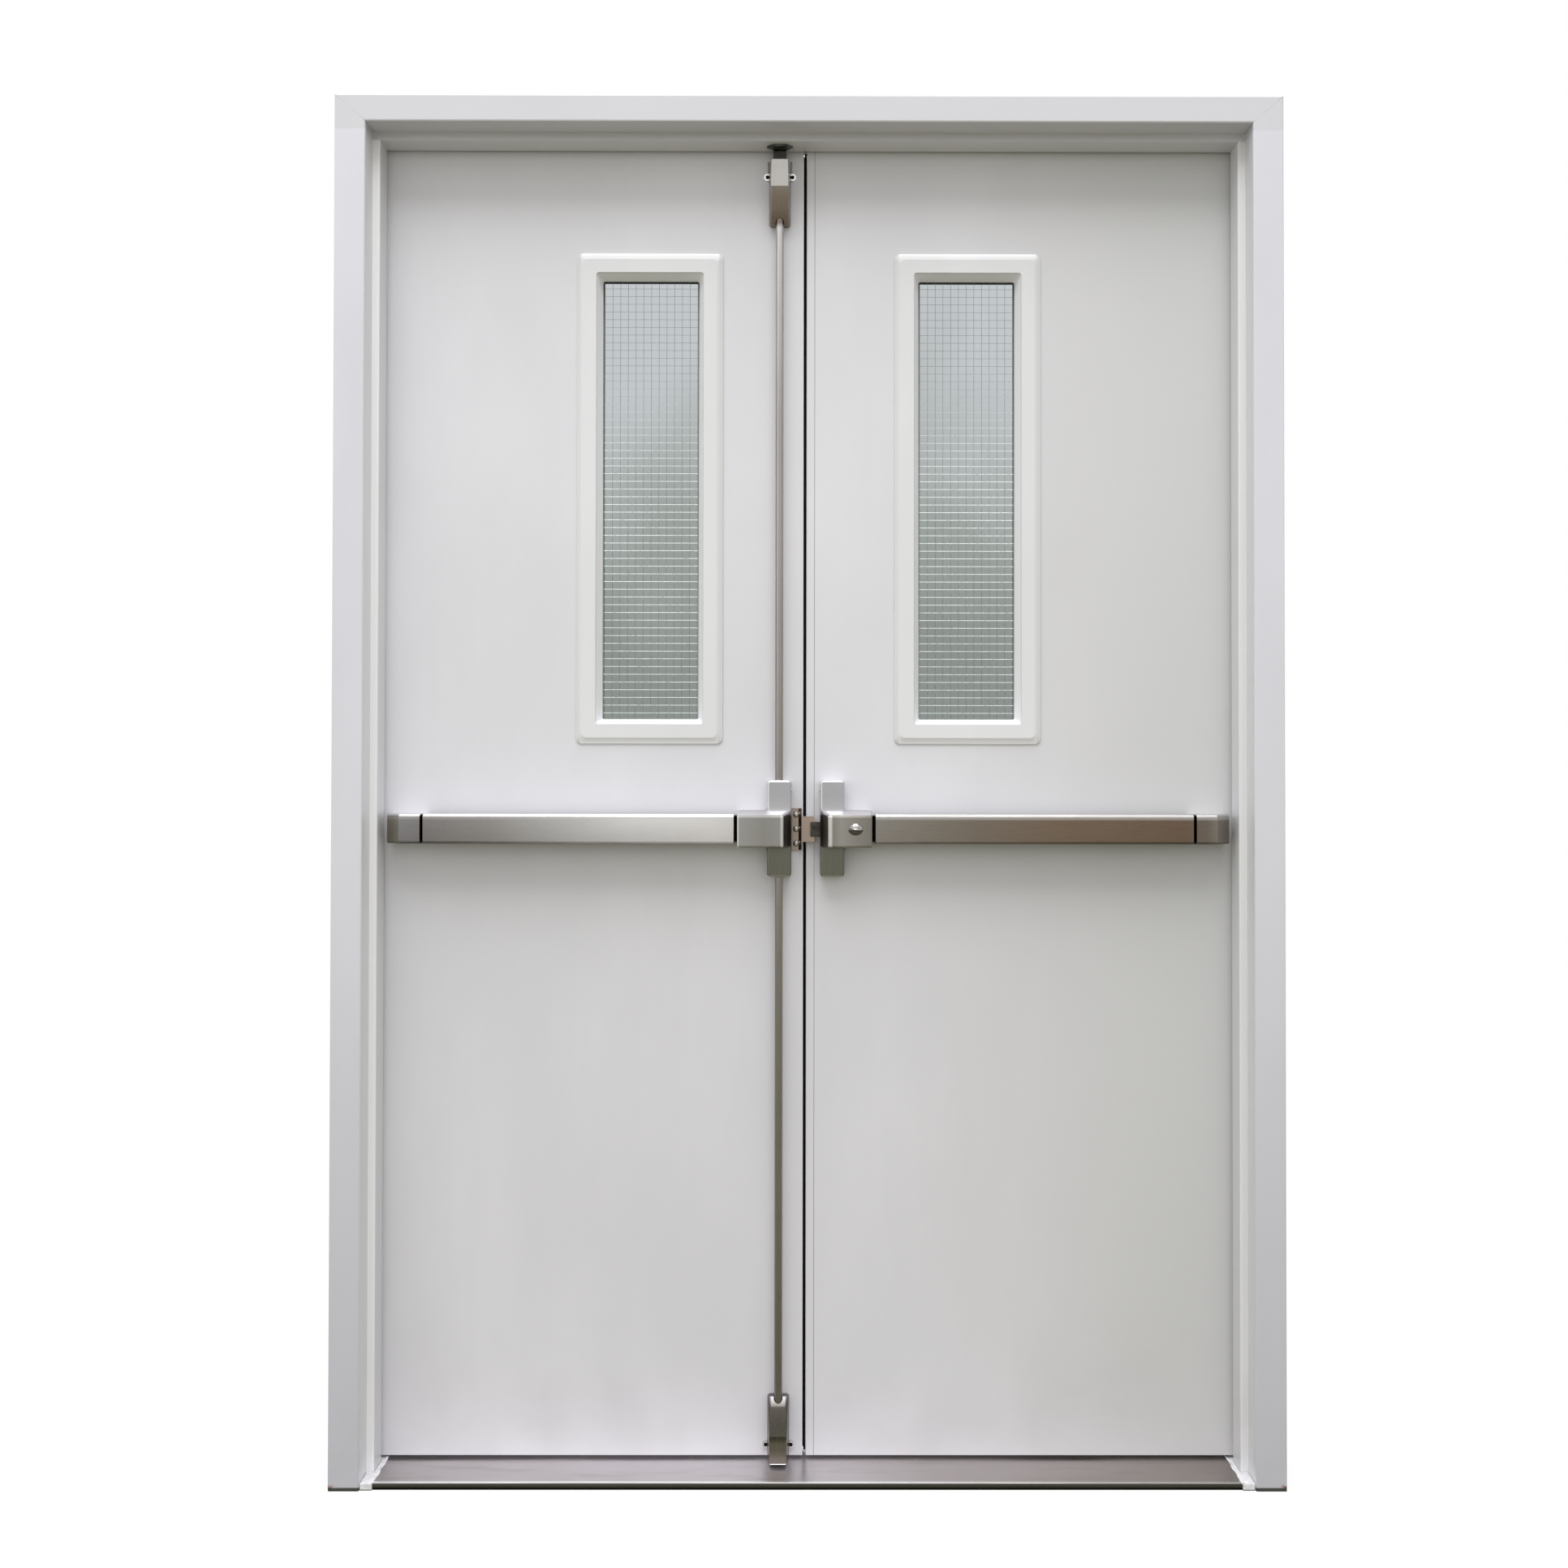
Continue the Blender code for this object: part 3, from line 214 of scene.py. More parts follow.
def painted_steel(name, light, dark, local):
    """Satin paint on sheet: faint mottling and runs, orange peel, dirt towards the floor, and
    painted shade in a thin dark band along the bottom edge, where the floor's contact shadow falls.

    local takes the material and its colour and returns the colour with the painted light and
    shade, and any rust, that belong to certain places of the piece.
    """
    paint = Finish(name, Coat_Weight=0.15, Coat_Roughness=0.25)
    mottle = paint.noise(5, 5, stretch=(1, 1, 0.45))
    color = paint.ramp(mottle, (0.3, dark), (0.7, light))
    runs = paint.ranged(paint.noise(34, 3, stretch=(1, 1, 0.12)), 0.45, 0.75, 0, 0.22)
    color = local(paint, paint.blend(runs, color, dark))
    height = paint.axis("Z")
    clouds = paint.ranged(paint.noise(9, 6), 0.42, 0.7, 0, 0.07)
    stain = paint.times(paint.ranged(height, 0.0, 0.30, 1, 0), clouds)
    color = paint.blend(stain, color, GRIME)
    # painted shade: the floor's contact shadow as a dark band along the bottom edge
    foot = paint.ranged(height, 0.0042, 0.0070, 0.95, 0)
    color = paint.blend(foot, color, rgb(46, 45, 42))
    specks = paint.ranged(paint.cells(38), 0.018, 0.035, 0.45, 0)
    chosen = paint.ranged(paint.noise(3, 2, offset=(7, 3, 1)), 0.56, 0.66)
    color = paint.blend(paint.times(specks, chosen), color, GRIME)
    paint.set("Base Color", color)
    paint.set("Roughness", paint.ranged(mottle, 0.3, 0.7, 0.44, 0.32))
    peel, waves = paint.noise(420, 2), paint.noise(2.2, 2)
    paint.bump((peel, 0.14, 0.0004), (waves, 0.25, 0.004))
    return paint


def frame_tones(paint, color):
    """Painted shade low down and on the head, painted light in the rabbets and on the stops; rust at
    the feet.
    """
    height, across = paint.axis("Z"), paint.away("X")
    # painted shade: darker towards the floor
    color = paint.blend(paint.ranged(height, 0.0, PAINTED_SHADE_BELOW_Z, 1, 0), color, rgb(197, 197, 207))
    # painted shade on the head
    head_edge = HEAD_LOW_Z - 0.001, HEAD_LOW_Z + 0.001
    color = paint.blend(paint.ranged(height, *head_edge), color, rgb(205, 204, 210))
    # painted light in the rabbets below the head
    inner = paint.ranged(across, RABBET_X + 0.0002, RABBET_X + 0.0006, 0.8, 0)
    painted_rabbet_light = paint.times(inner, paint.ranged(height, *head_edge, 1, 0))
    color = paint.blend(painted_rabbet_light, color, rgb(222, 222, 224))
    # painted light on the stop faces, less of it on the right
    stop = paint.times(painted_rabbet_light, paint.ranged(paint.away("Y", STOP_FACE_Y), 0.0006, 0.0010, 1, 0))
    right = paint.ranged(paint.axis("X"), -0.1, 0.1)
    painted_stop_light = paint.blend(right, rgb(250, 250, 253), rgb(233, 233, 235))
    color = paint.blend(stop, color, painted_stop_light)
    outer = paint.ranged(across, FRAME_X - 0.0125, FRAME_X - 0.0015)
    feet = paint.times(outer, paint.ranged(height, 0.008, 0.013, 1, 0))
    flakes = paint.ranged(paint.noise(130, 4, offset=(1, 2, 3)), 0.46, 0.56)
    return paint.blend(paint.times(feet, flakes), color, rgb(132, 62, 48))


def leaf_tones(paint, color):
    """Painted shade towards the right hinges, and a painted shadow line beside the meeting edge."""
    across = paint.axis("X")
    # painted shade towards the right hinges
    color = paint.blend(paint.ranged(across, 0.10, 0.66), color, rgb(204, 204, 206))
    # painted shadow line beside the meeting edge
    seam_shadow = paint.band(
        across, (SEAM_X - 0.0007, SEAM_X - 0.0001), (SEAM_X + 0.0003, SEAM_X + 0.0011), 0.5
    )
    return paint.blend(seam_shadow, color, rgb(112, 110, 108))


def lite_tones(paint, color):
    """Painted light on the reveals between the face of a lite frame and its glass, painted shade on
    its side bevels.
    """
    across = paint.away("X")
    # painted light on the reveals
    painted_reveal_light = paint.band(
        paint.axis("Y"), (LITE_LOW.y + 0.00075, LITE_LOW.y + 0.00425),
        (GLASS_LOW.y, GLASS_LOW.y + 0.0030),
    )
    color = paint.blend(painted_reveal_light, color, rgb(248, 248, 252))
    # painted shade on the side bevels of the frame
    near = paint.ranged(across, LITE_LOW.x + 0.0055, LITE_LOW.x + 0.0075, 1, 0)
    far = paint.ranged(across, LITE_HIGH.x - 0.0075, LITE_HIGH.x - 0.0055)
    return paint.blend(paint.maths("MAXIMUM", near, far), color, rgb(215, 215, 217))


def brushed(name, light, dark, grain, rough=0.30, lines=900, tones=None, local=None):
    """Stainless steel brushed along the axis that grain stretches the least.

    tones is an axis and its stops, for steel whose painted reflection and shade change from place
    to place; local takes the material and its colour and returns the colour with painted
    highlights and shade on its edges.
    """
    steel = Finish(name, Metallic=1.0)
    hair = steel.noise(lines, 3, stretch=grain, rough=0.65)
    cloud = steel.noise(16, 3, stretch=tuple(0.3 + 0.7 * g for g in grain))
    if tones:
        color = steel.blend(steel.ranged(cloud, 0.32, 0.68, 0.10, 0), steel.tones(*tones), dark)
        color = steel.blend(steel.ranged(hair, 0.35, 0.75, 0.0, 0.06), color, light)
    else:
        color = steel.ramp(cloud, (0.32, dark), (0.68, light))
        color = steel.blend(steel.ranged(hair, 0.35, 0.75, 0.0, 0.20), color, dark)
    if local:
        color = local(steel, color)
    steel.set("Base Color", color)
    steel.set("Roughness", steel.ranged(hair, 0.3, 0.7, rough - 0.03, rough + 0.04))
    steel.bump((hair, 0.02, 0.0002), (cloud, 0.04, 0.001))
    return steel


# Painted highlight and painted shade for the edges of the steel
PAINTED_HIGHLIGHT, SHADED = rgb(232, 232, 234), rgb(84, 82, 76)

# Painted reflection across the head of each case: dark chamfers by the meeting edges and a painted
# highlight line beside each
CASE_HEAD_TONES = (
    "X", (-0.114, rgb(176, 174, 172)), (-0.070, rgb(160, 158, 154)), (-0.0450, rgb(166, 164, 161)),
    (-0.0435, rgb(222, 221, 220)), (-0.0412, rgb(222, 220, 218)), (-0.0392, rgb(158, 154, 148)),
    (-0.0275, rgb(104, 99, 92)), (0.019, rgb(96, 91, 84)), (0.0290, rgb(178, 172, 165)),
    (0.0330, rgb(226, 223, 220)), (0.0365, rgb(226, 223, 220)), (0.0390, rgb(152, 148, 143)),
    (0.052, rgb(170, 166, 161)), (0.102, rgb(140, 136, 129)),
)


def bar_painted_light(steel, color):
    """Painted highlights on the upper bevel of the bars and just below it, painted shade fading
    upwards and on the lower bevel.
    """
    height = steel.axis("Z")

    def by_side(left, right):
        return steel.ranged(steel.axis("X"), -0.1, 0.1, left, right)

    fading = steel.ranged(height, BAR_LOW_Z + 0.0035, BAR_HIGH_Z - 0.0105, 1, 0, smooth=False)
    color = steel.blend(steel.times(fading, by_side(0.24, 0.06)), color, SHADED)
    under = steel.ranged(height, BAR_LOW_Z + 0.0019, BAR_LOW_Z + 0.0041, 0.62, 0)
    color = steel.blend(under, color, SHADED)
    shoulder = steel.ranged(height, BAR_HIGH_Z - 0.0100, BAR_HIGH_Z - 0.0065)
    color = steel.blend(steel.times(shoulder, by_side(0.24, 0.42)), color, PAINTED_HIGHLIGHT)
    rim = steel.ranged(height, BAR_HIGH_Z - 0.0037, BAR_HIGH_Z - 0.0017)
    return steel.blend(steel.times(rim, by_side(0.8, 0.35)), color, PAINTED_HIGHLIGHT)


def case_painted_light(steel, color):
    """Painted reflection across the head and its chamfers, painted highlights on the rims of head and
    stems and at top and bottom.
    """
    across, height = steel.axis("X"), steel.axis("Z")

    def rim(start, end, level):
        soft = (end - start) / 4
        return steel.band(across, (start - soft, start), (end - soft, end + soft), level)

    head = steel.band(height, CASE_HEAD_FOOT_Z, CASE_HEAD_TOP_Z)
    color = steel.blend(head, color, steel.tones(*CASE_HEAD_TONES))
    color = steel.blend(rim(*CASE_HEAD_RIM_X, 0.7), color, PAINTED_HIGHLIGHT)
    stems = steel.ranged(height, *STEM_FOOT_Z)
    for start, end in STEM_RIMS_X:
        color = steel.blend(steel.times(rim(start, end, 0.75), stems), color, PAINTED_HIGHLIGHT)
    top = steel.ranged(height, CASE_HIGH_Z - 0.0040, CASE_HIGH_Z - 0.0015, 0, 0.8)
    bottom = steel.ranged(height, CASE_LOW_Z + 0.0015, CASE_LOW_Z + 0.0040, 0.45, 0)
    return steel.blend(bottom, steel.blend(top, color, PAINTED_HIGHLIGHT), PAINTED_HIGHLIGHT)


def latch_painted_light(steel, color):
    """Painted shade on the walls of the upper latch case, painted highlights on the ears and along
    the bottom of the lower one.
    """
    height, across = steel.axis("Z"), steel.away("X", LATCH_X)
    by_height = steel.ranged(height, 1.0, 1.1, 0.15, 0.75)
    walls = steel.times(steel.ranged(across, *LATCH_WALL_OUT), by_height)
    color = steel.blend(walls, color, rgb(96, 95, 86))
    beside = steel.ranged(across, *EAR_ROOT_OUT)
    for middle, level in ((TOP_EAR_Z, 0.95), (BOTTOM_EAR_Z, 0.60)):
        near = steel.ranged(steel.away("Z", middle), *EAR_HALF, level, 0)
        color = steel.blend(steel.times(beside, near), color, rgb(246, 246, 247))
    foot = steel.ranged(height, LATCH_LOW_Z + 0.0012, LATCH_LOW_Z + 0.0024, 0.9, 0)
    return steel.blend(foot, color, PAINTED_HIGHLIGHT)


def knob_painted_light(steel, color):
    """The turned knob: painted shade below its ridge and a painted highlight on the ridge."""
    height = steel.axis("Z")
    below = steel.ranged(height, KNOB_RIDGE_Z - 0.0006, KNOB_RIDGE_Z + 0.0006, 0.85, 0)
    color = steel.blend(below, color, rgb(92, 88, 82))
    ridge = steel.band(
        height, (KNOB_RIDGE_Z - 0.0010, KNOB_RIDGE_Z - 0.0004),
        (KNOB_RIDGE_Z + 0.0004, KNOB_RIDGE_Z + 0.0010), 0.9,
    )
    return steel.blend(ridge, color, PAINTED_HIGHLIGHT)


frame_paint = painted_steel("frame_paint", rgb(217, 217, 226), rgb(210, 210, 219), frame_tones)
leaf_paint = painted_steel("leaf_paint", rgb(223, 222, 228), rgb(215, 214, 220), leaf_tones)
lite_paint = painted_steel("lite_paint", rgb(226, 226, 230), rgb(219, 219, 223), lite_tones)

ALONG_X, ALONG_Z = (0.02, 1, 1), (1, 1, 0.02)
PALE, WORN = rgb(200, 199, 199), rgb(112, 104, 98)
bar_steel = brushed(
    "bar_steel", PALE, WORN, ALONG_X,
    # painted reflection along X: brightest left of the middle, browner and darker over the right leaf
    tones=(
        "X", (-0.66, rgb(164, 159, 144)), (-0.648, rgb(151, 149, 153)), (-0.61, rgb(147, 143, 143)),
        (-0.51, rgb(170, 166, 166)), (-0.36, rgb(222, 221, 222)), (-0.28, rgb(244, 242, 244)),
        (-0.15, rgb(250, 247, 247)), (0.11, rgb(153, 147, 140)), (0.26, rgb(135, 125, 113)),
        (0.40, rgb(132, 113, 96)), (0.60, rgb(122, 101, 84)), (0.635, rgb(121, 113, 103)),
        (0.66, rgb(149, 143, 133)),
    ),
    local=bar_painted_light,
)
case_steel = brushed(
    "case_steel", PALE, WORN, ALONG_Z,
    # painted reflection and shade along Z: dark lower stems, a highlight on top of the head, light
    # upper stems
    tones=(
        "Z", (0.953, rgb(117, 117, 105)), (0.999, rgb(119, 119, 109)), (1.0525, rgb(150, 148, 147)),
        (1.0540, rgb(216, 215, 219)), (1.0600, rgb(206, 205, 210)), (1.0625, rgb(205, 204, 208)),
        (1.085, rgb(194, 193, 198)), (1.109, rgb(194, 193, 197)),
    ),
    local=case_painted_light,
)
rod_steel = brushed(
    "rod_steel", PALE, WORN, ALONG_Z, lines=1400,
    # painted reflection along Z, lighter upwards, and a painted shadow where the upper rod enters its
    # latch case
    tones=(
        "Z", (0.0, rgb(133, 127, 121)), (0.6, rgb(148, 144, 138)), (1.0, rgb(157, 152, 145)),
        (1.1, rgb(154, 147, 143)), (1.7, rgb(168, 163, 159)), (2.00, rgb(196, 193, 190)),
        (2.0112, rgb(196, 193, 190)), (2.0128, rgb(120, 110, 104)), (2.07, rgb(120, 110, 104)),
    ),
)
latch_steel = brushed(
    "latch_steel", PALE, WORN, ALONG_Z,
    # painted reflection and shade along Z: the light and dark bands of the lower case, the upper case
    # lighter towards its top
    tones=(
        "Z", (0.016, rgb(136, 126, 121)), (0.0213, rgb(141, 132, 125)), (0.027, rgb(127, 119, 111)),
        (0.037, rgb(112, 108, 97)), (0.046, rgb(121, 116, 102)), (0.0550, rgb(134, 128, 112)),
        (0.0565, rgb(80, 77, 67)), (0.072, rgb(72, 69, 59)), (0.0985, rgb(88, 83, 76)),
        (0.1040, rgb(92, 86, 81)), (0.1075, rgb(80, 76, 76)), (0.1090, rgb(84, 81, 81)),
        (0.1103, rgb(138, 135, 137)), (0.1140, rgb(141, 138, 140)), (0.1155, rgb(88, 86, 85)),
        (0.119, rgb(86, 84, 83)),
        (1.0, rgb(110, 100, 90)), (2.018, rgb(142, 130, 123)), (2.060, rgb(170, 155, 146)),
        (2.064, rgb(178, 174, 170)), (2.119, rgb(194, 191, 188)),
    ),
    local=latch_painted_light,
)
strike_steel = brushed(
    "strike_steel", rgb(190, 180, 172), rgb(120, 108, 98), ALONG_Z, rough=0.26,
    # painted reflection across the strike, warmer on the lip, with a painted shadow along the bend
    tones=(
        "X", (-0.0272, rgb(165, 150, 141)), (-0.0165, rgb(172, 156, 146)),
        (-0.0145, rgb(146, 134, 124)), (-0.0120, rgb(176, 160, 150)), (0.0100, rgb(190, 170, 154)),
    ),
)
hinge_steel = brushed("hinge_steel", rgb(200, 198, 196), rgb(168, 165, 162), ALONG_Z)
knob_steel = brushed(
    "knob_steel", rgb(172, 169, 168), rgb(156, 152, 150), ALONG_X, rough=0.18, local=knob_painted_light
)


def worn_sill():
    """The trodden sill plate: scuffed on top, with painted reflection across it, a painted highlight
    on the nosing and painted shade low on its front face.
    """
    steel = Finish("sill_steel", Metallic=1.0)
    hair = steel.noise(700, 3, stretch=ALONG_X, rough=0.65)
    wear = steel.noise(11, 6, stretch=(0.35, 1, 1))
    # painted reflection: the top lighter at the left and middle, duller to the right
    across = steel.tones(
        "X", (-0.68, rgb(202, 196, 196)), (-0.30, rgb(224, 218, 221)), (-0.02, rgb(224, 219, 222)),
        (0.20, rgb(196, 189, 187)), (0.68, rgb(172, 163, 159)),
    )
    color = steel.blend(steel.ranged(wear, 0.30, 0.72, 0.13, 0), across, rgb(128, 120, 114))
    scuffs = steel.noise(60, 5, stretch=(0.15, 1, 1), offset=(4, 2, 0))
    color = steel.blend(steel.ranged(scuffs, 0.52, 0.72, 0, 0.16), color, rgb(122, 112, 104))
    depth = steel.axis("Y")
    # painted highlight along the nosing, strong at the left
    highlight_by_side = steel.ranged(steel.axis("X"), -0.1, 0.5, 0.95, 0.15)
    nosing = steel.times(steel.ranged(depth, NOSING_Y - 0.0005, NOSING_Y + 0.0005, 1, 0), highlight_by_side)
    color = steel.blend(nosing, color, rgb(252, 252, 252))
    # painted shade: the front face darkest at the floor
    front = steel.tones(
        "Z", (0.0, rgb(10, 10, 8)), (0.0018, rgb(18, 18, 15)), (0.0036, rgb(66, 66, 60)),
        (0.0060, rgb(98, 97, 93)), (0.0110, rgb(118, 117, 118)),
    )
    before = steel.ranged(depth, SILL_FRONT_Y - 0.0004, SILL_FRONT_Y + 0.0004, 1, 0)
    color = steel.blend(before, color, front)
    steel.set("Base Color", color)
    steel.set("Roughness", steel.ranged(wear, 0.3, 0.7, 0.46, 0.28))
    steel.bump((hair, 0.12, 0.0002), (scuffs, 0.12, 0.0006))
    return steel


def dull_finish(name, light=None, dark=None, rough=0.42, metallic=0.7, tones=None):
    """Dull metal or rubber with a faint grain, from dark to light or in tones along an axis."""
    dull = Finish(name, Metallic=metallic)
    grain = dull.noise(90, 4)
    if tones:
        color = dull.tones(*tones)
    else:
        color = dull.ramp(grain, (0.35, dark), (0.7, light))
    dull.set("Base Color", color)
    dull.set("Roughness", dull.ranged(grain, 0.3, 0.7, rough - 0.08, rough + 0.1))
    dull.bump((dull.noise(600, 2), 0.15, 0.0003))
    return dull


def filler():
    """White filler, lumpy and soiled, with painted shade where it meets the floor."""
    paste = Finish("white_filler")
    lumps = paste.noise(120, 4)
    color = paste.ramp(lumps, (0.35, rgb(216, 215, 219)), (0.65, rgb(240, 239, 243)))
    dirt = paste.ranged(paste.noise(45, 5, offset=(2, 0, 3)), 0.55, 0.75, 0, 0.35)
    color = paste.blend(dirt, color, rgb(150, 142, 134))
    # painted shade along the bottom edge
    foot = paste.ranged(paste.axis("Z"), 0.0008, 0.0022, 0.9, 0)
    paste.set("Base Color", paste.blend(foot, color, rgb(52, 50, 48)))
    paste.set("Roughness", paste.ranged(lumps, 0.3, 0.7, 0.5, 0.7))
    paste.bump((lumps, 0.35, 0.0015))
    return paste


def pane_glass():
    """The glass of the lites with a painted reflection, pale at the top and darker towards the
    bottom, and a faint wave.
    """
    glass = Finish("wired_glass", Transmission_Weight=1.0, IOR=1.5)
    height = glass.ranged(glass.axis("Z"), GLASS_LOW.z, GLASS_HIGH.z)
    cloud = glass.noise(4, 2, stretch=(1, 1, 0.6))
    mixed = glass.maths("ADD", height, glass.ranged(cloud, 0.3, 0.7, -0.12, 0.12))
    # painted reflection: the tint pales towards the top
    color = glass.ramp(
        mixed, (0.02, rgb(133, 140, 136)), (0.35, rgb(150, 158, 154)),
        (0.6, rgb(171, 177, 176)), (0.95, rgb(191, 196, 199)),
    )
    glass.set("Base Color", color)
    glass.set("Roughness", glass.ranged(cloud, 0.3, 0.7, 0.03, 0.07))
    glass.bump((glass.noise(14, 2), 0.12, 0.002))
    return glass


# Painted light: how strongly the lower level wires glow
WIRE_GLOW = 2.2


def glowing_wire():
    """The level wires of the glass, with painted light: paler and glowing in the lower part of the
    lite.
    """
    steel = Finish("glowing_wire", Metallic=0.6, Roughness=0.3)
    spark = steel.noise(160, 2, stretch=(1, 1, 0.4))
    low = steel.ranged(steel.axis("Z"), *GLOW_WIRES_Z, 1, 0)
    steel.set("Base Color", steel.blend(low, rgb(208, 210, 210), rgb(244, 245, 244)))
    painted_glow = steel.times(low, steel.ranged(spark, 0.30, 0.55, 0.5, 1.0))
    steel.set("Emission Color", rgb(255, 255, 252))
    steel.set("Emission Strength", steel.times(painted_glow, WIRE_GLOW))
    return steel


sill_steel = worn_sill()
bolt_steel = dull_finish("bolt_steel", rgb(84, 82, 76), rgb(52, 51, 47))
strike_dark = dull_finish("strike_dark", rgb(104, 110, 102), rgb(74, 80, 73), rough=0.3)
# painted shade: the rail is dark so that the gaps beside the bar covers read as shadow
rail_dark = dull_finish("rail_dark", rgb(44, 44, 46), rgb(26, 26, 28), rough=0.5)
# painted shade: dark for the rings under the strike screws and for the screws in the latch ears
hole_shade_dark = dull_finish("hole_shade_dark", rgb(30, 28, 26), rgb(16, 15, 14), rough=0.7)
filler_paste = filler()
wired_glass = pane_glass()
wire_steel = brushed("wire_steel", rgb(222, 224, 224), rgb(196, 198, 198), ALONG_Z)
glowing_rung_wire = glowing_wire()
screw_steel = brushed("screw_steel", rgb(214, 212, 210), rgb(178, 174, 170), ALONG_Z, rough=0.16)
# Painted light and shade on the glazing seals: pale low down, dark along the top where shade falls
seal_rubber = dull_finish(
    "seal_rubber", rough=0.6, metallic=0.0,
    tones=(
        "Z", (1.20, rgb(150, 152, 150)), (1.85, rgb(104, 106, 104)), (1.92, rgb(34, 35, 34)),
        (1.94, rgb(30, 31, 30)),
    ),
)
# black rubber, which also stands in for the shade deep in the gap between the leaves
gasket_rubber = dull_finish(
    "gasket_rubber", rgb(34, 33, 33), rgb(22, 21, 21), rough=0.7, metallic=0.0
)

NODE_FINISHES = {
    "jamb": frame_paint,
    "head": frame_paint,
    "threshold": sill_steel,
    "sill_filler": filler_paste,
    "head_strike": strike_dark,
    "hinge": hinge_steel,
    "leaf": leaf_paint,
    "channel": leaf_paint,
    "lite_frame": lite_paint,
    "glass": wired_glass,
    "rail": rail_dark,
    "rail_cover": bar_steel,
    "end_cap": bar_steel,
    "center_case": case_steel,
    "latch_case": latch_steel,
    "meeting_strike": strike_steel,
    "push_bar": bar_steel,
    "rod": rod_steel,
    "bolt": bolt_steel,
    "right_latch": bolt_steel,
    "thumb_turn": knob_steel,
}


def finish_of(name):
    """The finish whose key fits the node's name; the longest key wins."""
    keys = [key for key in NODE_FINISHES if key in name]
    return NODE_FINISHES[max(keys, key=len)]


for name, obj in nodes.items():
    obj.data.materials.clear()
    obj.data.materials.append(finish_of(name).material)


# New pieces

def add_piece(name, bm, finish, body, smooth=True):
    """An object at the origin with its place in its mesh, riding on a body."""
    bmesh.ops.recalc_face_normals(bm, faces=bm.faces)
    mesh = bpy.data.meshes.new(name)
    bm.to_mesh(mesh)
    bm.free()
    mesh.materials.append(finish.material)
    if smooth:
        mesh.shade_smooth()
        mesh.set_sharp_from_angle(angle=math.radians(35))
    obj = bpy.data.objects.new(name, mesh)
    bpy.context.scene.collection.objects.link(obj)
    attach(obj, body)


def facing(place, direction):
    """The transform that stands a shape made along +Z on a place, looking in a direction."""
    turn = Vector(direction).to_track_quat("Z", "Y").to_matrix().to_4x4()
    return Matrix.Translation(Vector(place)) @ turn


def add_wire(bm, start, end, radius):
    """A thin straight wire from one point to another."""
    start, end = Vector(start), Vector(end)
    bmesh.ops.create_cone(
        bm, cap_ends=True, segments=6, radius1=radius, radius2=radius,
        depth=(end - start).length, matrix=facing((start + end) / 2, end - start),
    )


WIRE_PITCH = 0.0127
WIRE_R = 0.00027


def wire_grid(side_name):
    """The welded wire net in the middle of the glass."""
    low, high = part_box(f"{side_name}_glass")
    middle = (low + high) / 2
    inset = WIRE_PITCH / 4
    columns = int((high.x - low.x - 2 * inset) / WIRE_PITCH)
    rows = int((high.z - low.z - 2 * inset) / WIRE_PITCH)
    uprights, rungs = bmesh.new(), bmesh.new()
    front, back = middle.y - WIRE_R, middle.y + WIRE_R
    for i in range(columns + 1):
        x = middle.x + (i - columns / 2) * WIRE_PITCH
        add_wire(uprights, (x, back, low.z + inset), (x, back, high.z - inset), WIRE_R)
    for i in range(rows + 1):
        z = middle.z + (i - rows / 2) * WIRE_PITCH
        add_wire(rungs, (low.x + inset, front, z), (high.x - inset, front, z), WIRE_R)
    for name, bm, finish in (("uprights", uprights, wire_steel), ("rungs", rungs, glowing_rung_wire)):
        add_piece(
            f"{side_name}_wire_{name}", bm, finish, f"{side_name}_leaf", False
        )


SCREW_SIDES = 24
DOME = ((1.0, 0.45), (0.86, 0.80), (0.60, 0.97), (0.44, 1.0))
RECESS_R, RECESS_FLOOR = 0.42, 0.35
CROSS_SLOT_W, HEX_REACH = 0.288, 0.86


def add_screw(bm, place, direction, radius, height, slots):
    """A domed head with a recess of crossed slots, made along +Z and then stood in place.

    DOME gives the head's rings as shares of its radius and height; three slots make a hex recess.
    """
    made = bmesh.ops.create_circle(bm, cap_ends=True, segments=SCREW_SIDES, radius=radius)["verts"]
    face = made[0].link_faces[0]
    verts = set(made)
    for share, rise in DOME:
        face = bmesh.ops.extrude_discrete_faces(bm, faces=[face])["faces"][0]
        for vert in face.verts:
            flat = Vector((vert.co.x, vert.co.y, 0)).normalized() * radius * share
            vert.co = (flat.x, flat.y, height * rise)
        verts |= set(face.verts)
    recess = bmesh.ops.extrude_discrete_faces(bm, faces=[face])["faces"][0]
    for vert in recess.verts:
        angle = math.atan2(vert.co.y, vert.co.x)
        reach = slot_reach(angle, slots) * radius * RECESS_R
        vert.co = (math.cos(angle) * reach, math.sin(angle) * reach, height)
    verts |= set(recess.verts)
    floor = bmesh.ops.extrude_discrete_faces(bm, faces=[recess])["faces"][0]
    for vert in floor.verts:
        vert.co.z = height * RECESS_FLOOR
    verts |= set(floor.verts)
    bmesh.ops.remove_doubles(bm, verts=list(verts), dist=1e-7)
    alive = [v for v in verts if v.is_valid]
    under = {e for v in alive for e in v.link_edges if e.is_boundary}
    bmesh.ops.holes_fill(bm, edges=list(under), sides=SCREW_SIDES)
    bmesh.ops.transform(bm, matrix=facing(place, direction), verts=alive)


def slot_reach(angle, slots):
    """How far a recess of crossed slots reaches at an angle, as a share of its radius."""
    half = math.pi / 2 / slots
    turn = (angle + half) % (2 * half) - half
    if slots == 3:
        return HEX_REACH * math.cos(half) / math.cos(turn)
    return min(1.0, CROSS_SLOT_W / max(abs(math.sin(turn)), 1e-6))


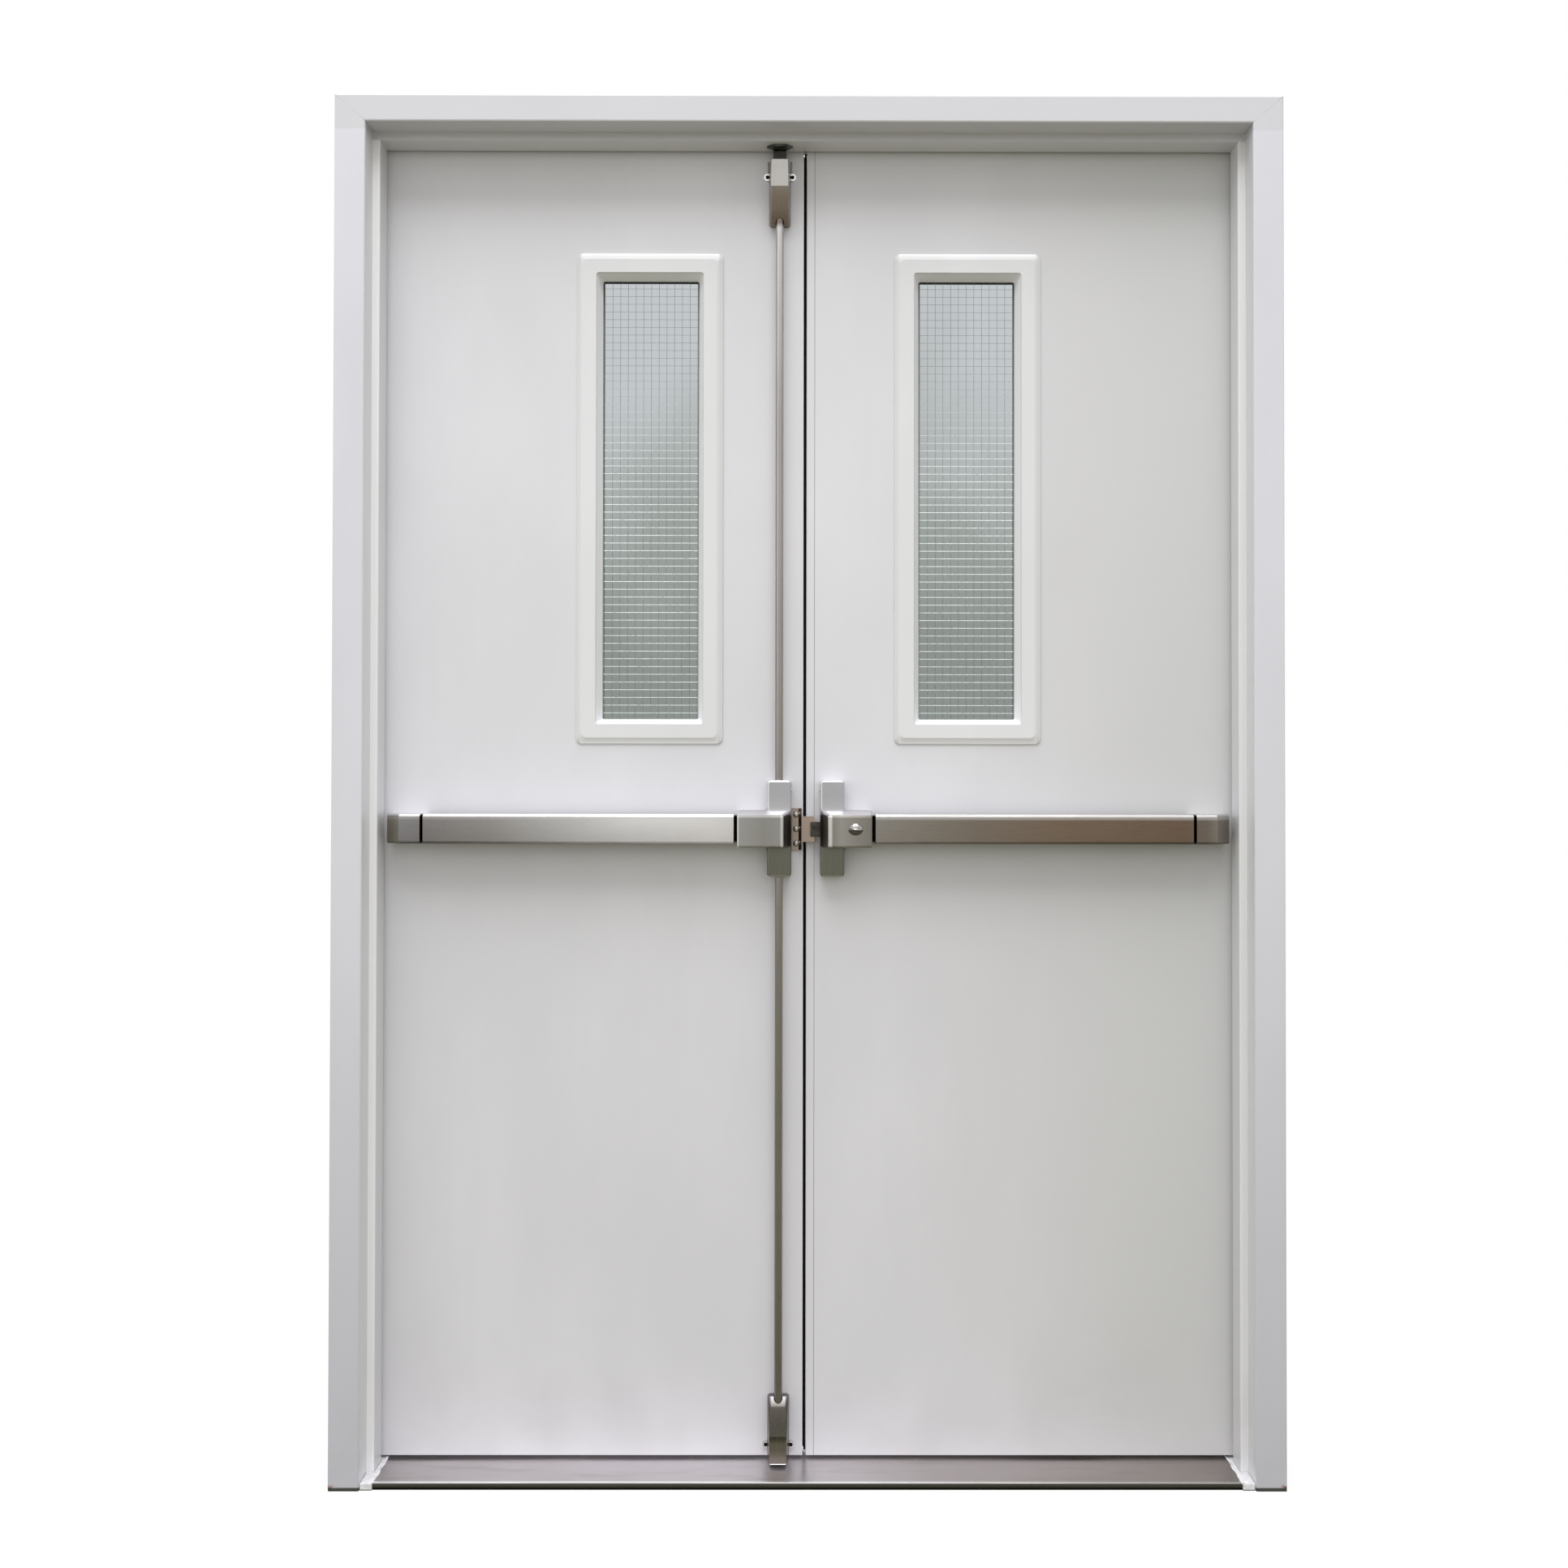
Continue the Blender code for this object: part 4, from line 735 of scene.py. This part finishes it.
def screws(name, spots, direction, radius, height, body, finish=screw_steel, slots=2):
    """One piece of like screws, a head at each spot."""
    bm = bmesh.new()
    for spot in spots:
        add_screw(bm, spot, direction, radius, height, slots)
    add_piece(name, bm, finish, body)


STRIKE_PLATE_T, STRIKE_SCREW_IN, STRIKE_SCREW_PITCH = 0.0028, 0.0075, 0.0235
SINK_R, SINK_TOP_R, SINK_T = 0.0050, 0.0047, 0.0002
STEM_SCREW_Y, STEM_SCREW_DOWN = 0.008, 0.0175
LATCH_BASE_T, EAR_OUT = 0.003, 0.0204
KNUCKLE_R, HINGE_PLATE_T = 0.0065, 0.0023
HINGE_HOLES = ((-0.045, 0.030), (-0.017, 0.018), (0.017, 0.030), (0.045, 0.018))
LITE_LIP, LITE_SIDE_SCREWS = 0.004, 5
NEAR_BOLT_IN, FAR_BOLT_IN, BOLT_HALF_PITCH = 0.020, 0.018, 0.056


def strike_screws():
    """The screws of the meeting strike, each on a thin dark ring, its countersink, dark as painted
    shade.
    """
    low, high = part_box("meeting_strike")
    x, middle = low.x + STRIKE_SCREW_IN, (low.z + high.z) / 2
    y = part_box("left_leaf")[0].y - STRIKE_PLATE_T - TOUCH
    spots = [(x, y, middle + step * STRIKE_SCREW_PITCH) for step in (-1, 0, 1)]
    sink_shades = bmesh.new()
    for spot in spots:
        bmesh.ops.create_cone(
            sink_shades, cap_ends=True, segments=SCREW_SIDES, radius1=SINK_R, radius2=SINK_TOP_R,
            depth=SINK_T, matrix=facing(spot, PUSH),
        )
    add_piece("strike_screw_sink_shades", sink_shades, hole_shade_dark, "left_leaf")
    screws("strike_screws", spots, PUSH, 0.0044, 0.0032, "left_leaf")


def stem_screws():
    """The small set screws in the sides of the upper stems that face the meeting edges."""
    for side_name, side in SIDES.items():
        low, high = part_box(f"{side_name}_center_case")
        face = high.x if side == LEFT else low.x
        spot = (face - side * TOUCH, STEM_SCREW_Y, high.z - STEM_SCREW_DOWN)
        screws(
            f"{side_name}_stem_screw", [spot], (-side, 0, 0), 0.0026, 0.0011,
            f"{side_name}_leaf", slots=3,
        )


def ear_screws():
    """The screws through the ears at both sides of the rod latch cases; their dark finish is painted
    shade.
    """
    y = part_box("left_leaf")[0].y - LATCH_BASE_T - TOUCH
    spots = [
        (LATCH_X + side * EAR_OUT, y, z)
        for side in (LEFT, RIGHT) for z in (TOP_EAR_Z, BOTTOM_EAR_Z)
    ]
    screws(
        "ear_screws", spots, PUSH, 0.0030, 0.0010, "left_leaf", hole_shade_dark, slots=3
    )


def hinge_screws():
    """Four screws in each half of each hinge, in the face that looks into the joint."""
    for side_name, side in SIDES.items():
        for number in (1, 2, 3):
            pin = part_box(f"leaf_hinge_{side_name}_{number}")[1].y - KNUCKLE_R
            for half, body, away in (
                ("leaf", f"{side_name}_leaf", side), ("frame", "frame", -side),
            ):
                node = f"{half}_hinge_{side_name}_{number}"
                low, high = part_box(node)
                middle = (low.z + high.z) / 2
                plate_x = hinge_plate_face(side, half)
                spots = [(plate_x, pin - depth, middle + z) for z, depth in HINGE_HOLES]
                screws(
                    f"{node}_screws", spots, (away, 0, 0), 0.0042, 0.0006, body
                )


def hinge_plate_face(side, half):
    """The face of a hinge plate that looks into the joint between leaf and frame."""
    if half == "leaf":
        return side * (RABBET_X - LEAF_CLEAR + TOUCH)
    return side * (RABBET_X - HINGE_PLATE_T - TOUCH)


def lite_screws():
    """The screws that hold the pull side frame of each lite."""
    for side_name in SIDES:
        low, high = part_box(f"{side_name}_lite_frame_pull")
        glass_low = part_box(f"{side_name}_glass")[0]
        inset = (glass_low.x - low.x + LITE_LIP) / 2
        face = high.y + TOUCH
        left, right, bottom, top = low.x + inset, high.x - inset, low.z + inset, high.z - inset
        spots = [
            (x, face, bottom + (top - bottom) * i / (LITE_SIDE_SCREWS - 1))
            for x in (left, right) for i in range(LITE_SIDE_SCREWS)
        ]
        spots += [((left + right) / 2, face, z) for z in (bottom, top)]
        screws(
            f"{side_name}_lite_screws", spots, PULL, 0.0036, 0.0014,
            f"{side_name}_leaf", finish=lite_paint,
        )


def through_bolts():
    """The round nuts on the pull side that the devices are bolted to."""
    for side_name, side in SIDES.items():
        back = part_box(f"{side_name}_leaf")[1].y + TOUCH
        case = sorted(abs(corner.x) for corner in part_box(f"{side_name}_center_case"))
        cap_low, cap_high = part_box(f"{side_name}_end_cap")
        middle = (cap_low.z + cap_high.z) / 2
        near, far = case[0] + NEAR_BOLT_IN, case[1] - FAR_BOLT_IN
        cap_x = (cap_low.x + cap_high.x) / 2
        spots = [(side * near, back, middle + step * BOLT_HALF_PITCH) for step in (-1, 1)]
        spots += [(side * far, back, middle), (cap_x, back, middle)]
        screws(
            f"{side_name}_through_bolts", spots, PULL, 0.0085, 0.0022,
            f"{side_name}_leaf",
        )


BEAD_R, BEAD_RINGS = 0.0019, 60


def sealant_beads():
    """The uneven bead of sealant along the inner edge of each filler."""
    for side_name, side in SIDES.items():
        low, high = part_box(f"{side_name}_sill_filler")
        edge = low.x if side == RIGHT else high.x
        length = high.y - low.y
        bm = bmesh.new()
        bmesh.ops.create_cone(
            bm, cap_ends=True, segments=12, radius1=1, radius2=1, depth=length,
            matrix=facing((edge, (low.y + high.y) / 2, high.z), PULL),
        )
        long_edges = [e for e in bm.edges if abs((e.verts[0].co - e.verts[1].co).y) > length / 2]
        bmesh.ops.subdivide_edges(bm, edges=long_edges, cuts=BEAD_RINGS, use_grid_fill=True)
        for vert in bm.verts:
            along = (vert.co.y - low.y) / length
            wave = math.sin(along * 31 + side) + 0.6 * math.sin(along * 67 + 2 * side)
            radius = BEAD_R + 0.0004 * wave
            shift = 0.0008 * math.sin(along * 19 + 3 * side)
            vert.co.x = edge + shift + (vert.co.x - edge) * radius
            vert.co.z = high.z + (vert.co.z - high.z) * radius * 0.7
        add_piece(f"{side_name}_sealant_bead", bm, filler_paste, "frame")


SEAL_IN, SEAL_W, SEAL_T = 0.0052, 0.0017, 0.0016


def glazing_seals():
    """The thin strips between the glass and the lips of the lite frames."""
    stand = Matrix.Rotation(math.pi / 2, 3, "X")
    for side_name in SIDES:
        low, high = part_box(f"{side_name}_glass")
        centre, half = (low + high) / 2, (high - low) / 2
        for face, glass_y, away in (("push", low.y, PUSH), ("pull", high.y, PULL)):
            place = (centre.x, glass_y + away.y * TOUCH, centre.z)
            bm = bmesh.new()
            bmesh.ops.create_grid(bm, x_segments=1, y_segments=1, size=1)
            bmesh.ops.scale(bm, vec=(half.x - SEAL_IN, half.z - SEAL_IN, 1), verts=bm.verts)
            bmesh.ops.rotate(bm, cent=(0, 0, 0), matrix=stand, verts=bm.verts)
            bmesh.ops.translate(bm, vec=place, verts=bm.verts)
            ring = bmesh.ops.inset_region(
                bm, faces=bm.faces[:], thickness=SEAL_W, use_even_offset=True, use_boundary=True
            )["faces"]
            middle = [f for f in bm.faces if f not in ring]
            bmesh.ops.delete(bm, geom=middle, context="FACES")
            grown = bmesh.ops.extrude_face_region(bm, geom=bm.faces[:])["geom"]
            raised = [v for v in grown if isinstance(v, bmesh.types.BMVert)]
            bmesh.ops.translate(bm, vec=away * SEAL_T, verts=raised)
            add_piece(
                f"{side_name}_glazing_seal_{face}", bm, seal_rubber,
                f"{side_name}_leaf", False,
            )


GASKET_ROOT, GASKET_SHORT = 0.0008, 0.004


def meeting_gaskets():
    """A black bulb gasket on the meeting edge of each leaf, which closes the gap between the leaves;
    its black also stands in for the shade deep in that gap.

    Each is a flattened rod that bulges out of its edge, squared where it sits on it.
    """
    left_edge, right_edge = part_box("left_leaf")[1].x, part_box("meeting_edge_channel")[0].x
    for side_name, side, edge, bulge, near, far in (
        ("left", LEFT, left_edge, 0.0042, 0.058, 0.0715),
        ("right", RIGHT, right_edge, 0.0036, 0.0445, 0.056),
    ):
        low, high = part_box(f"{side_name}_leaf")
        root, tip = edge - side * TOUCH, edge - side * bulge
        middle = Vector(((tip + root) / 2, (near + far) / 2, (low.z + high.z) / 2))
        bm = bmesh.new()
        length = high.z - low.z - GASKET_SHORT
        bmesh.ops.create_cone(
            bm, cap_ends=True, segments=20, radius1=1, radius2=1, depth=length
        )
        bmesh.ops.scale(bm, vec=(abs(tip - root) / 2, (far - near) / 2, 1), verts=bm.verts)
        bmesh.ops.translate(bm, vec=middle, verts=bm.verts)
        for vert in bm.verts:
            if abs(vert.co.x - root) < GASKET_ROOT:
                vert.co.x = root
                vert.co.y = near if vert.co.y < middle.y else far
        bmesh.ops.remove_doubles(bm, verts=bm.verts, dist=1e-6)
        bmesh.ops.dissolve_degenerate(bm, edges=bm.edges, dist=1e-6)
        add_piece(
            f"{side_name}_meeting_gasket", bm, gasket_rubber, f"{side_name}_leaf"
        )


for side_name in SIDES:
    wire_grid(side_name)
strike_screws()
stem_screws()
ear_screws()
hinge_screws()
lite_screws()
through_bolts()
sealant_beads()
glazing_seals()
meeting_gaskets()


# Floor, light and camera

WORLD_LIGHT, WORLD_GLOSS = 0.80, 1.0
FLOOR_HALF, FLOOR_Z = 30, -0.0006
FLOOR_NEAR, FLOOR_FAR = 1.5, 5.0
FLOOR_GLOW, FLOOR_GLOSS = 0.86, 0.12


def studio_floor():
    """A floor that is white to the camera and through glass, and duller in the light it throws.

    Less of it glows near the object, which leaves room for the object's shadow.
    """
    bm = bmesh.new()
    bmesh.ops.create_grid(bm, x_segments=1, y_segments=1, size=FLOOR_HALF)
    bmesh.ops.translate(bm, vec=(0, 0, FLOOR_Z), verts=bm.verts)
    mesh = bpy.data.meshes.new("studio_floor")
    bm.to_mesh(mesh)
    bm.free()
    floor = bpy.data.objects.new("studio_floor", mesh)
    bpy.context.scene.collection.objects.link(floor)
    finish = Finish("studio_floor", Roughness=0.9, Specular_IOR_Level=0.2)
    tone = finish.noise(3, 3)
    lit = finish.ramp(tone, (0.3, rgb(122, 120, 94)), (0.7, rgb(128, 126, 100)))
    path = finish.node("ShaderNodeLightPath")
    eye = finish.maths("MAXIMUM", path.outputs["Is Camera Ray"], path.outputs["Is Transmission Ray"])
    finish.set("Base Color", finish.blend(eye, lit, rgb(246, 246, 246)))
    across, along = finish.axis("X"), finish.axis("Y")
    squares = finish.times(across, across), finish.times(along, along)
    reach = finish.maths("SQRT", finish.maths("ADD", *squares))
    near = finish.ranged(reach, FLOOR_NEAR, FLOOR_FAR, FLOOR_GLOW, 1.0)
    glow = finish.node("ShaderNodeEmission")
    gloss = finish.times(path.outputs["Is Glossy Ray"], FLOOR_GLOSS)
    share = finish.maths("MAXIMUM", finish.times(eye, near), gloss)
    mixed = finish.node("ShaderNodeMixShader")
    finish.feed(mixed.inputs["Fac"], share)
    finish.feed(mixed.inputs[1], finish.shader.outputs["BSDF"])
    finish.feed(mixed.inputs[2], glow.outputs["Emission"])
    output = finish.tree.nodes["Material Output"]
    finish.feed(output.inputs["Surface"], mixed.outputs["Shader"])
    mesh.materials.append(finish.material)


def studio_world():
    """A white world that lights the object less strongly than it shows to the camera and in steel."""
    world = bpy.data.worlds.new("studio")
    world.use_nodes = True
    tree = world.node_tree
    background = tree.nodes["Background"]
    background.inputs["Color"].default_value = (1, 1, 1, 1)
    path = tree.nodes.new("ShaderNodeLightPath")
    strength = None
    for ray, level in (
        ("Is Glossy Ray", WORLD_GLOSS), ("Is Transmission Ray", 1.0), ("Is Camera Ray", 1.0),
    ):
        step = tree.nodes.new("ShaderNodeMapRange")
        tree.links.new(path.outputs[ray], step.inputs["Value"])
        step.inputs["To Max"].default_value = level
        if strength:
            tree.links.new(strength, step.inputs["To Min"])
        else:
            step.inputs["To Min"].default_value = WORLD_LIGHT
        strength = step.outputs["Result"]
    tree.links.new(strength, background.inputs["Strength"])
    bpy.context.scene.world = world


def softbox(name, place, target, size, power, mirrored=True):
    """An area lamp aimed at a target; one that isn't mirrored doesn't show in the steel."""
    light = bpy.data.lights.new(name, "AREA")
    light.shape = "RECTANGLE"
    light.size, light.size_y = size
    light.energy = power
    lamp = bpy.data.objects.new(name, light)
    lamp.location = place
    aim = Vector(target) - Vector(place)
    lamp.rotation_euler = aim.to_track_quat("-Z", "Y").to_euler()
    lamp.visible_camera = False
    lamp.visible_transmission = False
    lamp.visible_glossy = mirrored
    bpy.context.scene.collection.objects.link(lamp)


def photo_camera():
    """The camera at the photo's own place, turn and framing."""
    data = bpy.data.cameras.new("photo_camera")
    data.lens = CAMERA_LENS
    data.sensor_width = 36
    data.shift_x, data.shift_y = CAMERA_SHIFT
    data.clip_end = 100
    camera = bpy.data.objects.new("photo_camera", data)
    camera.location = CAMERA_PLACE
    camera.rotation_euler = [math.radians(angle) for angle in CAMERA_TURN]
    bpy.context.scene.collection.objects.link(camera)
    bpy.context.scene.camera = camera


studio_floor()
studio_world()
softbox("key", (-0.3, -2.8, 7.0), (0, 0, 0.9), (5.4, 4.2), 336)
softbox("back", (0.6, 2.6, 3.6), (0, 0, 1.0), (2.8, 1.8), 44)
softbox("side", (-4.4, -2.4, 2.4), (0, 0, 1.1), (3.0, 3.0), 18)
softbox("fill", (0, -5.0, 1.8), (0, 0, 1.0), (6.0, 3.0), 27, mirrored=False)
photo_camera()
bpy.context.scene.view_settings.view_transform = "Standard"
